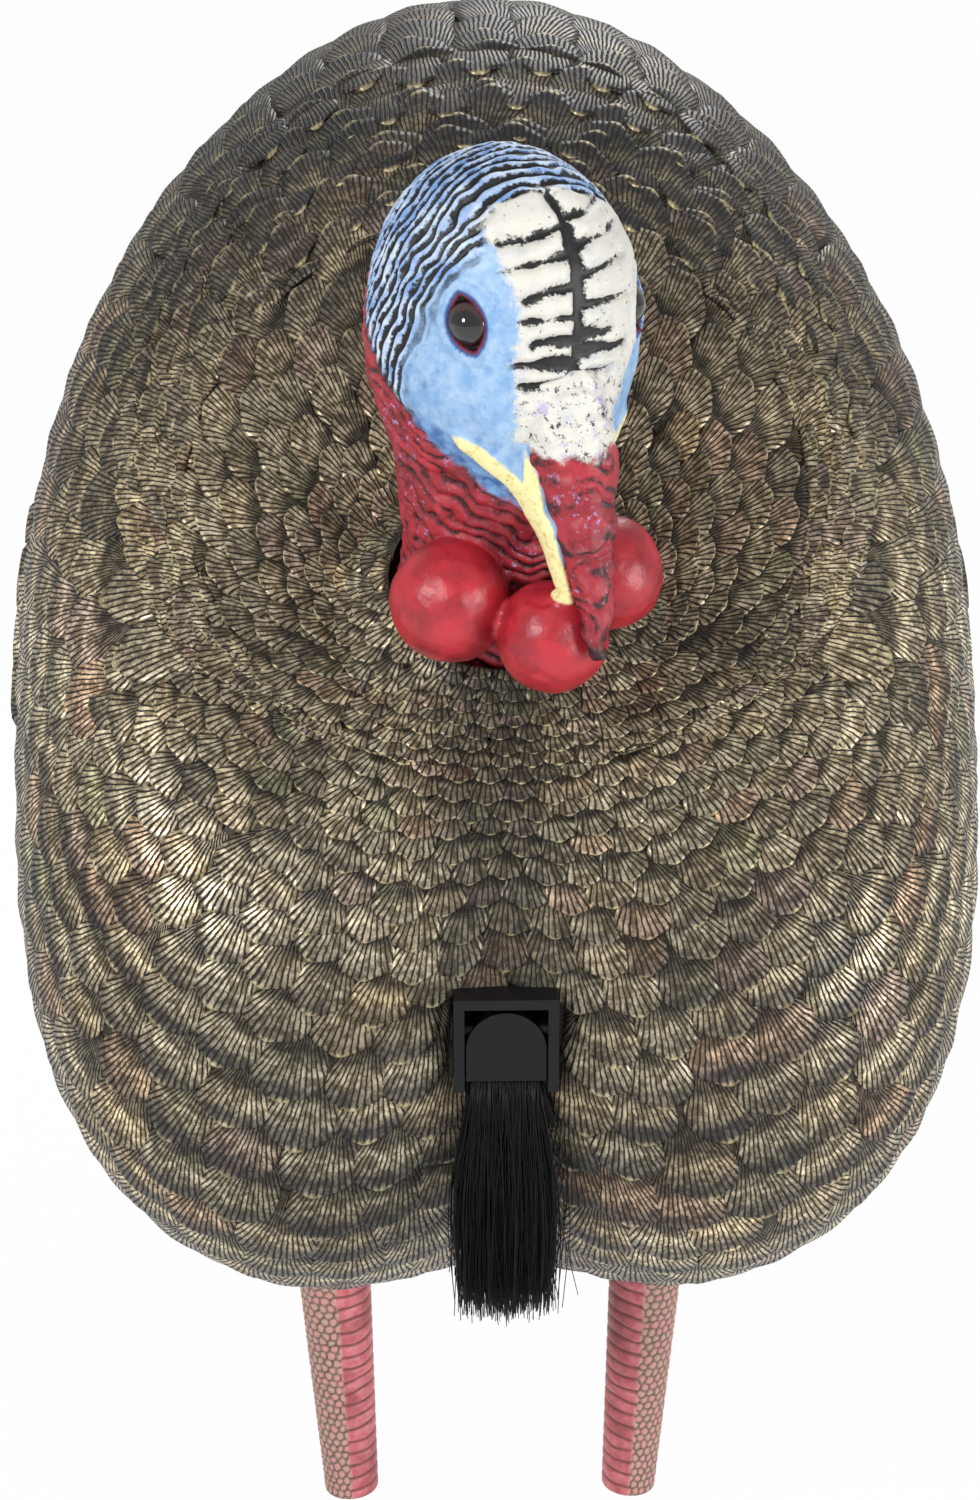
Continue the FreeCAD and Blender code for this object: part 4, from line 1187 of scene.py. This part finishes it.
def buildBeard():
    dice = np.random.default_rng(51)
    shape = beardShape
    vertices, faces = [], []
    steps = 7
    for k in range(shape["strands"]):
        stray = dice.uniform() < 0.035
        x = dice.uniform(-1, 1) * shape["halfWidth"]
        y = dice.uniform(-1, 1) * shape["halfThick"]
        edge = abs(x) / shape["halfWidth"]
        length = shape["length"] * (1 - 0.16 * dice.uniform() ** 1.5 - 0.10 * edge * dice.uniform()
                                    - (0.28 * dice.uniform() if dice.uniform() < 0.25 else 0))
        endX = x * shape["spread"] + dice.normal(0, 2.2)
        endX += dice.uniform(2, 9) * (1 if dice.uniform() < 0.8 else -1) if stray else 0
        endY = y * 1.7 + dice.normal(0, 1.0)
        bow = dice.normal(0, 1.3)
        for i in range(steps):
            t = i / (steps - 1)
            swell = min(t / 0.55, 1.0)
            cx = x + (endX - x) * swell ** 1.3 * (1 if not stray else t) + bow * math.sin(math.pi * t)
            if not stray and t > 0.7:
                cx -= (cx - x) * 0.10 * (t - 0.7) / 0.3
            cy = y + (endY - y) * t - 1.2 * math.sin(math.pi * t)
            cz = shape["root"] - length * t
            wide = shape["strandWidth"] / 2 * (1 - 0.45 * t)
            for j in range(3):
                turn = 2 * math.pi * j / 3 + k
                vertices.append(((cx + wide * math.cos(turn) + shape["pin"][0]) * mm,
                                 (cy + wide * math.sin(turn) + shape["pin"][1]) * mm, (cz + shape["pin"][2]) * mm))
        start = k * steps * 3
        for i in range(steps - 1):
            for j in range(3):
                a, b = start + i * 3 + j, start + i * 3 + (j + 1) % 3
                faces.append((a, b, b + 3, a + 3))
        faces.append((start + 2, start + 1, start))
        faces.append(tuple(start + (steps - 1) * 3 + j for j in range(3)))
    piece = makePiece("beard_strands", vertices, faces, "beard", bristleMaterial())
    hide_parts("beard_bristles")


# legs
legShape = {
    "spread": 142.8, "set": -10.0, "seat": 4.0, "lean": 3.16,
    "top": (4.3, 17.6), "foot": (166.3, 11.9), "peg": (-36.0, 12.0), "ring": -21.6,
    "plate": 6.2, "scale": 4.2, "turns": 112,
}


# Painted ABS leg: pink enamel over moulded plates, brown wash in the joints between the scales.
def legMaterial():
    material, tree, shader = newMaterial("paintedAbsLegs")
    place = addNode(tree, "TexCoord").outputs["Object"]
    paint = addNode(tree, "Attribute", attribute_name="legPaint").outputs["Vector"]
    zone, border, cell = addNode(tree, "SeparateXYZ", {"Vector": paint}).outputs
    mid, fine, broad = [addNode(tree, "TexNoise", {"Vector": place, "Scale": 1 / (size * mm), "Detail": detail,
                                                   "Roughness": 0.6}).outputs[0]
                        for size, detail in ((4.0, 4.0), (1.0, 4.0), (20.0, 3.0))]
    pink = coat(tree, colour("#b8545f"), mid, 0.35, 0.7, colour("#cf8084"))
    pink = coat(tree, pink, broad, 0.45, 0.65, colour("#9c4a4c"))
    plates = coat(tree, colour("#6d3634"), border, 0.0, 0.9, pink)
    tops = coat(tree, colour("#b99684"), cell, 0, 1, colour("#c98a86"))
    brown = coat(tree, colour("#4f423a"), mid, 0.4, 0.65, colour("#6d5d50"))
    scales = coat(tree, brown, border, 0.25, 0.95, tops)
    shake = addNode(tree, "Math", {0: mid, 1: 0.5}, operation="SUBTRACT").outputs[0]
    torn = addNode(tree, "Math", {0: shake, 1: 4.0, 2: zone}, operation="MULTIPLY_ADD").outputs[0]
    base = coat(tree, scales, torn, -0.8, 0.8, plates)
    base = coat(tree, base, fine, 0.66, 0.74, colour("#33241f"), 0.5)
    tree.links.new(base, shader.inputs["Base Color"])
    rough = addNode(tree, "MapRange", {"Value": mid, "From Min": 0.3, "From Max": 0.7, "To Min": 0.36,
                                       "To Max": 0.52})
    tree.links.new(rough.outputs[0], shader.inputs["Roughness"])
    bump = addNode(tree, "Bump", {"Height": fine, "Strength": 0.3, "Distance": 0.3 * mm})
    tree.links.new(bump.outputs["Normal"], shader.inputs["Normal"])
    return material


def buildLeg(name, side, material, node, body):
    shape = legShape
    (z0, r0), (z1, r1) = shape["top"], shape["foot"]
    pegEnd, pegRadius = shape["peg"]
    profile = [(pegEnd, 0.01), (pegEnd, pegRadius - 1), (pegEnd + 0.8, pegRadius), (shape["ring"] - 1.6, pegRadius),
               (shape["ring"] - 1.6, pegRadius - 1.8), (shape["ring"] + 1.6, pegRadius - 1.8),
               (shape["ring"] + 1.6, pegRadius), (z0, pegRadius), (z0, r0 - 1.2), (z0 + 0.4, r0 - 0.3)]
    shank = len(profile)
    rows = 185
    profile += [(z0 + 1 + (z1 - z0 - 2) * i / rows, r0 + (r1 - r0) * (i / rows)) for i in range(rows + 1)]
    end = len(profile)
    profile += [(z1 - 0.3, r1 - 0.4), (z1, r1 - 1.2), (z1, 7.6), (z1 - 0.6, 7.0), (z1 - 50, 7.0), (z1 - 50, 0.01)]
    turns = shape["turns"]
    z = np.repeat([p[0] for p in profile], turns).astype(float)
    radius = np.repeat([p[1] for p in profile], turns).astype(float)
    angle = np.tile(np.arange(turns) * 2 * math.pi / turns, len(profile))
    # angle 0 looks inwards, to the other leg
    inner = np.cos(angle) * 14 - 1.0
    flat = np.stack([radius * np.cos(angle), radius * np.sin(angle), z], 1)
    wander = grain(flat, 9.0, 61)
    step = (z + 1.6 * np.cos(angle) + 1.2 * wander) / shape["plate"]
    plate = (0.5 - np.abs(step - np.floor(step) - 0.5)) * shape["plate"] - 0.25
    # oval scales: a jittered lattice on the unrolled shank
    rowTall, cellWide = shape["scale"] * 0.82, shape["scale"]
    across = angle * 15.0
    best, second, pick = np.full(len(z), 1e9), np.full(len(z), 1e9), np.zeros(len(z))
    base = np.floor(z / rowTall)
    for dr in (-1, 0, 1):
        r = base + dr
        shift = (r % 2) * 0.5
        c0 = np.floor(across / cellWide - shift)
        for dc in (-1, 0, 1):
            c = c0 + dc
            key = np.abs(np.sin((c % 22) * 12.9898 + r * 78.233) * 43758.5453) % 1
            key2 = np.abs(np.sin((c % 22) * 39.346 + r * 11.135) * 24634.6345) % 1
            x = (c + shift + 0.5 + (key - 0.5) * 0.45) * cellWide
            y = (r + 0.5 + (key2 - 0.5) * 0.45) * rowTall
            d = np.hypot(across - x, z - y)
            second = np.where(d < best, best, np.minimum(second, d))
            pick = np.where(d < best, key, pick)
            best = np.minimum(best, d)
    gap = (second - best) / 2 + 0.1
    isPlate = smoothStep(-1.0, 1.0, inner)
    border = plate * isPlate + gap * (1 - isPlate)
    onShank = (z > z0 + 1) & (z < z1 - 1) & (radius > 10.5)
    onShank &= np.repeat([shank <= i < end for i in range(len(profile))], turns)
    fade = smoothStep(z0 + 0.5, z0 + 3, z) * (1 - smoothStep(z1 - 3, z1 - 0.5, z))
    relief = np.where(onShank, (np.clip(border, 0, 1.1) / 1.1 - 0.9) * 0.75 * fade, 0)
    radius = radius + relief
    lean = math.radians(shape["lean"])
    down = np.array([-side * math.sin(lean), 0, -math.cos(lean)])
    inwards = np.array([-side * math.cos(lean), 0, side * side * math.sin(lean)])
    inwards -= down * (inwards @ down)
    inwards /= np.linalg.norm(inwards)
    ahead = np.cross(down, inwards)
    origin = np.array([side * shape["spread"] / 2, shape["set"], shape["seat"]])
    points = (origin + down * z[:, None] + inwards * (radius * np.cos(angle))[:, None]
              + ahead * (radius * np.sin(angle))[:, None]) * mm
    faces = []
    for i in range(len(profile) - 1):
        for j in range(turns):
            k = (j + 1) % turns
            a, b, c, d = i * turns + j, i * turns + k, (i + 1) * turns + k, (i + 1) * turns + j
            faces.append((a, b, c, d))
    faces.append(tuple(range(turns))[::-1])
    faces.append(tuple((len(profile) - 1) * turns + j for j in range(turns)))
    piece = makePiece(name, points, faces, body, material)
    setVectors(piece.data, "legPaint", np.stack([inner, border, pick], 1))
    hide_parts(node)


# tail: long quills fanned in two layers, shorter coverts over their roots
tailShape = {
    "root": (0.0, 340.36, 236.59), "tilt": -10.2, "start": 8.0, "length": 212.0,
    "rootHalf": 40.0, "tipHalf": 70.0, "quills": 11, "width": 27.0, "arch": 11.0,
}
# the tail's shine and edge colours are painted highlights, as on the body's feathers
tailPaint = dict(featherPaint, ridge="#7d6144", shine="#c3a77e", edge="#cdb58c", band="#0d0d10")


def buildTail(material):
    shape = tailShape
    dice = np.random.default_rng(71)
    tilt = math.radians(shape["tilt"])
    back = np.array([0, math.cos(tilt), math.sin(tilt)])
    rise = np.array([0, -math.sin(tilt), math.cos(tilt)])
    rows, columns = 26, 9
    a = np.linspace(0, 1, rows)[:, None]
    b = np.linspace(-1, 1, columns)[None, :]
    vertices, faces, barbs, tints = [], [], [], []

    tree = skinTree(["tail_feathers"])

    # Height of the tail plate over its middle plane, on the upper or the lower side.
    def plateHeight(x, along, layer):
        start = (np.array(shape["root"]) + x * np.array([1.0, 0, 0]) + along * back + rise * layer * 70) * mm
        hit = tree.ray_cast(Vector(start), Vector(-rise * layer))[0]
        return (np.array(hit) / mm - shape["root"]) @ rise if hit else -shape["arch"] * (x / 84.0) ** 2

    def addQuill(rootX, tipX, reach, width, layer, height, over):
        tip = np.maximum((a - 0.86) / 0.14, 0)
        roundTip = np.where(a < 0.86, 1.0, np.sqrt(np.maximum(1 - tip ** 2.2, 0)) * 0.9 + 0.1)
        taper = 0.62 + 0.38 * smoothStep(0, 0.5, a)
        x = rootX + (tipX - rootX) * a ** 1.05 + b * width / 2 * roundTip * taper
        along = shape["start"] + reach * a * (1 - 0.0) - 0.02 * reach * b ** 2 * a
        up = np.array([[plateHeight(x[i, j], along[i, j], layer) for j in range(columns)] for i in range(rows)])
        up = up + layer * (0.3 + height + over * a + 0.9 * (1 - b ** 2))
        upper = (np.array(shape["root"]) + x[..., None] * np.array([1.0, 0, 0]) + along[..., None] * back
                 + up[..., None] * rise).reshape(-1, 3)
        lower = upper - rise * layer * 1.0
        start = len(vertices)
        vertices.extend((upper * mm).tolist())
        vertices.extend((lower * mm).tolist())
        n = rows * columns
        for i in range(rows - 1):
            for j in range(columns - 1):
                p = start + i * columns + j
                quad = (p, p + 1, p + columns + 1, p + columns)
                faces.append(quad if layer > 0 else quad[::-1])
                faces.append(tuple(q + n for q in (quad[::-1] if layer > 0 else quad)))
        rim = ([(i, 0) for i in range(rows)] + [(rows - 1, j) for j in range(1, columns)]
               + [(i, columns - 1) for i in range(rows - 2, -1, -1)] + [(0, j) for j in range(columns - 2, 0, -1)])
        ids = [start + i * columns + j for i, j in rim]
        for q in range(len(ids)):
            r = (q + 1) % len(ids)
            faces.append((ids[q], ids[r], ids[r] + n, ids[q] + n))
        count = (reach * (a + 0 * b) - np.abs(b * width / 2) * 1.1) / 1.9
        coords = np.stack([count, a + 0 * b, b + 0 * a], -1).reshape(-1, 3)
        barbs.append(np.concatenate([coords, coords]))
        bright = dice.normal(0.95, 0.08)
        tint = np.clip([bright / 1.6, bright / 1.6, bright / 1.6, dice.uniform(0.75, 1.0)], 0, 1)
        tints.append(np.repeat(tint[None], 2 * n, 0))

    for layer in (1, -1):
        for k in range(shape["quills"]):
            t = 2 * k / (shape["quills"] - 1) - 1
            reach = shape["length"] - 9 * t * t - dice.uniform(0, 3)
            addQuill(t * shape["rootHalf"] * 0.8, t * shape["tipHalf"], reach, shape["width"], layer,
                     0.9 * (1 - abs(t)), 1.6 * (1 - abs(t)))
        for k in range(8):
            t = 2 * (k + 0.5) / 8 - 1
            addQuill(t * shape["rootHalf"] * 0.75, t * 50, 98 - 12 * t * t, 22, layer, 2.2 + 0.8 * (1 - abs(t)), 1.5)
    piece = makePiece("tail_quills", vertices, faces, "tail", material)
    setVectors(piece.data, "barb", np.concatenate(barbs))
    setVectors(piece.data, "tint", np.concatenate(tints), "FLOAT_COLOR")


buildFeathers("left_wing_feathers", wingPlan(1), featherMaterial("paintedPolyethyleneWings", wingPaint))
buildFeathers("right_wing_feathers", wingPlan(-1), bpy.data.materials["paintedPolyethyleneWings"])
buildBeard()
legPaint = legMaterial()
buildLeg("left_leg_scales", 1, legPaint, "left_leg", "left_leg")
buildLeg("right_leg_scales", -1, legPaint, "right_leg", "right_leg")
buildTail(featherMaterial("paintedPolyethyleneTail", tailPaint))
say("wings, beard, legs and tail built")

# what the CAD gives ready made: sockets, peg, rings, screws, pin, studs
gloss = plasticMaterial("mouldedGlossAbs", "#08080a", 0.30, 1.2, 0.05, 0.3)
rubber = plasticMaterial("mouldedRubberRings", "#101012", 0.78, 0.4, 0.15)
skinBrown = plasticMaterial("paintedPolyethyleneShell", "#2e281d", 0.62, 1.0, 0.25)


# Zinc-plated steel: a fine mottle of tone and gloss, bright but not a mirror.
def steelMaterial():
    material, tree, shader = newMaterial("zincPlatedSteel")
    place = addNode(tree, "TexCoord").outputs["Object"]
    tone = addNode(tree, "TexNoise", {"Vector": place, "Scale": 1 / (1.5 * mm), "Detail": 4.0,
                                      "Roughness": 0.6}).outputs[0]
    tree.links.new(coat(tree, colour("#8f9296"), tone, 0.3, 0.7, colour("#b4b6b8")), shader.inputs["Base Color"])
    rough = addNode(tree, "MapRange", {"Value": tone, "To Min": 0.25, "To Max": 0.42})
    tree.links.new(rough.outputs[0], shader.inputs["Roughness"])
    shader.inputs["Metallic"].default_value = 1.0
    return material


steel = steelMaterial()
finishes = {
    "body_shell": skinBrown, "left_wing": skinBrown, "right_wing": skinBrown, "socket_screws": steel,
    "beard_pin": blackPlastic, "beard_ferrule": gloss, "neck_peg_ring": rubber, "left_leg_ring": rubber,
    "right_leg_ring": rubber, "tail_ring": rubber, "tail_feathers": skinBrown,
}
for name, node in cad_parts.items():
    for slot in node.material_slots:
        slot.material = finishes.get(name, blackPlastic)

# studio
studio = {
    "pitch": 20.0, "azimuth": -1.2, "distance": 1.3, "lens": 75.6,
    "target": (0.0, -0.010, 0.190),
}


def makeCamera():
    pitch, azimuth = math.radians(studio["pitch"]), math.radians(studio["azimuth"])
    look = Vector((-math.sin(azimuth) * math.cos(pitch), math.cos(azimuth) * math.cos(pitch),
                   -math.sin(pitch)))
    camera = bpy.data.objects.new("camera", bpy.data.cameras.new("camera"))
    camera.location = Vector(studio["target"]) - look * studio["distance"]
    camera.rotation_euler = look.to_track_quat("-Z", "Y").to_euler()
    camera.data.lens = studio["lens"]
    camera.data.sensor_fit = "AUTO"
    camera.data.sensor_width = 36
    camera.data.clip_start = 0.05
    bpy.context.scene.collection.objects.link(camera)
    bpy.context.scene.camera = camera


def makeLamp(name, place, target, size, watts):
    data = bpy.data.lights.new(name, "AREA")
    data.shape = "DISK"
    data.size = size
    data.energy = watts
    lamp = bpy.data.objects.new(name, data)
    lamp.location = place
    lamp.rotation_euler = (Vector(target) - Vector(place)).to_track_quat("-Z", "Y").to_euler()
    bpy.context.scene.collection.objects.link(lamp)


def makeStudio():
    low = cadBounds[0][2]
    mesh = bpy.data.meshes.new("floor")
    mesh.from_pydata([(-6, -6, low), (6, -6, low), (6, 8, low), (-6, 8, low)], [], [(0, 1, 2, 3)])
    floor = bpy.data.objects.new("floor", mesh)
    bpy.context.scene.collection.objects.link(floor)
    material, tree, shader = newMaterial("matWhitePaper")
    shader.inputs["Base Color"].default_value = (0.9, 0.9, 0.9, 1)
    shader.inputs["Roughness"].default_value = 0.9
    path = addNode(tree, "LightPath")
    seen = addNode(tree, "Math", {0: path.outputs["Is Camera Ray"], 1: path.outputs["Is Glossy Ray"]},
                   operation="MAXIMUM").outputs[0]
    white = addNode(tree, "Emission", {"Color": (1, 1, 1, 1), "Strength": 1.0})
    part = addNode(tree, "Math", {0: seen, 1: 0.97}, operation="MULTIPLY").outputs[0]
    mix = addNode(tree, "MixShader", {0: part, 1: shader.outputs[0], 2: white.outputs[0]})
    tree.links.new(mix.outputs[0], tree.nodes["Material Output"].inputs["Surface"])
    mesh.materials.append(material)
    world = bpy.data.worlds.new("studio")
    bpy.context.scene.world = world
    world.use_nodes = True
    tree = world.node_tree
    path = addNode(tree, "LightPath")
    seen = addNode(tree, "Math", {0: path.outputs["Is Camera Ray"], 1: path.outputs["Is Transmission Ray"]},
                   operation="MAXIMUM").outputs[0]
    backdrop = addNode(tree, "Background", {"Color": (1, 1, 1, 1), "Strength": 1.0})
    fill = addNode(tree, "Background", {"Color": (1, 1, 1, 1), "Strength": 0.55})
    mix = addNode(tree, "MixShader", {0: seen, 1: fill.outputs[0], 2: backdrop.outputs[0]})
    tree.links.new(mix.outputs[0], tree.nodes["World Output"].inputs["Surface"])
    makeLamp("keyLamp", (-1.2, -1.6, 1.3), (0, -0.05, 0.25), 0.45, 29)
    makeLamp("fillLamp", (1.7, -1.3, 0.5), (0, 0, 0.25), 0.9, 24)
    makeLamp("rimLamp", (0.3, 1.4, 1.4), (0, 0.1, 0.3), 0.9, 9)
    scene = bpy.context.scene
    scene.view_settings.view_transform = "Standard"


makeCamera()
makeStudio()
say("studio ready")
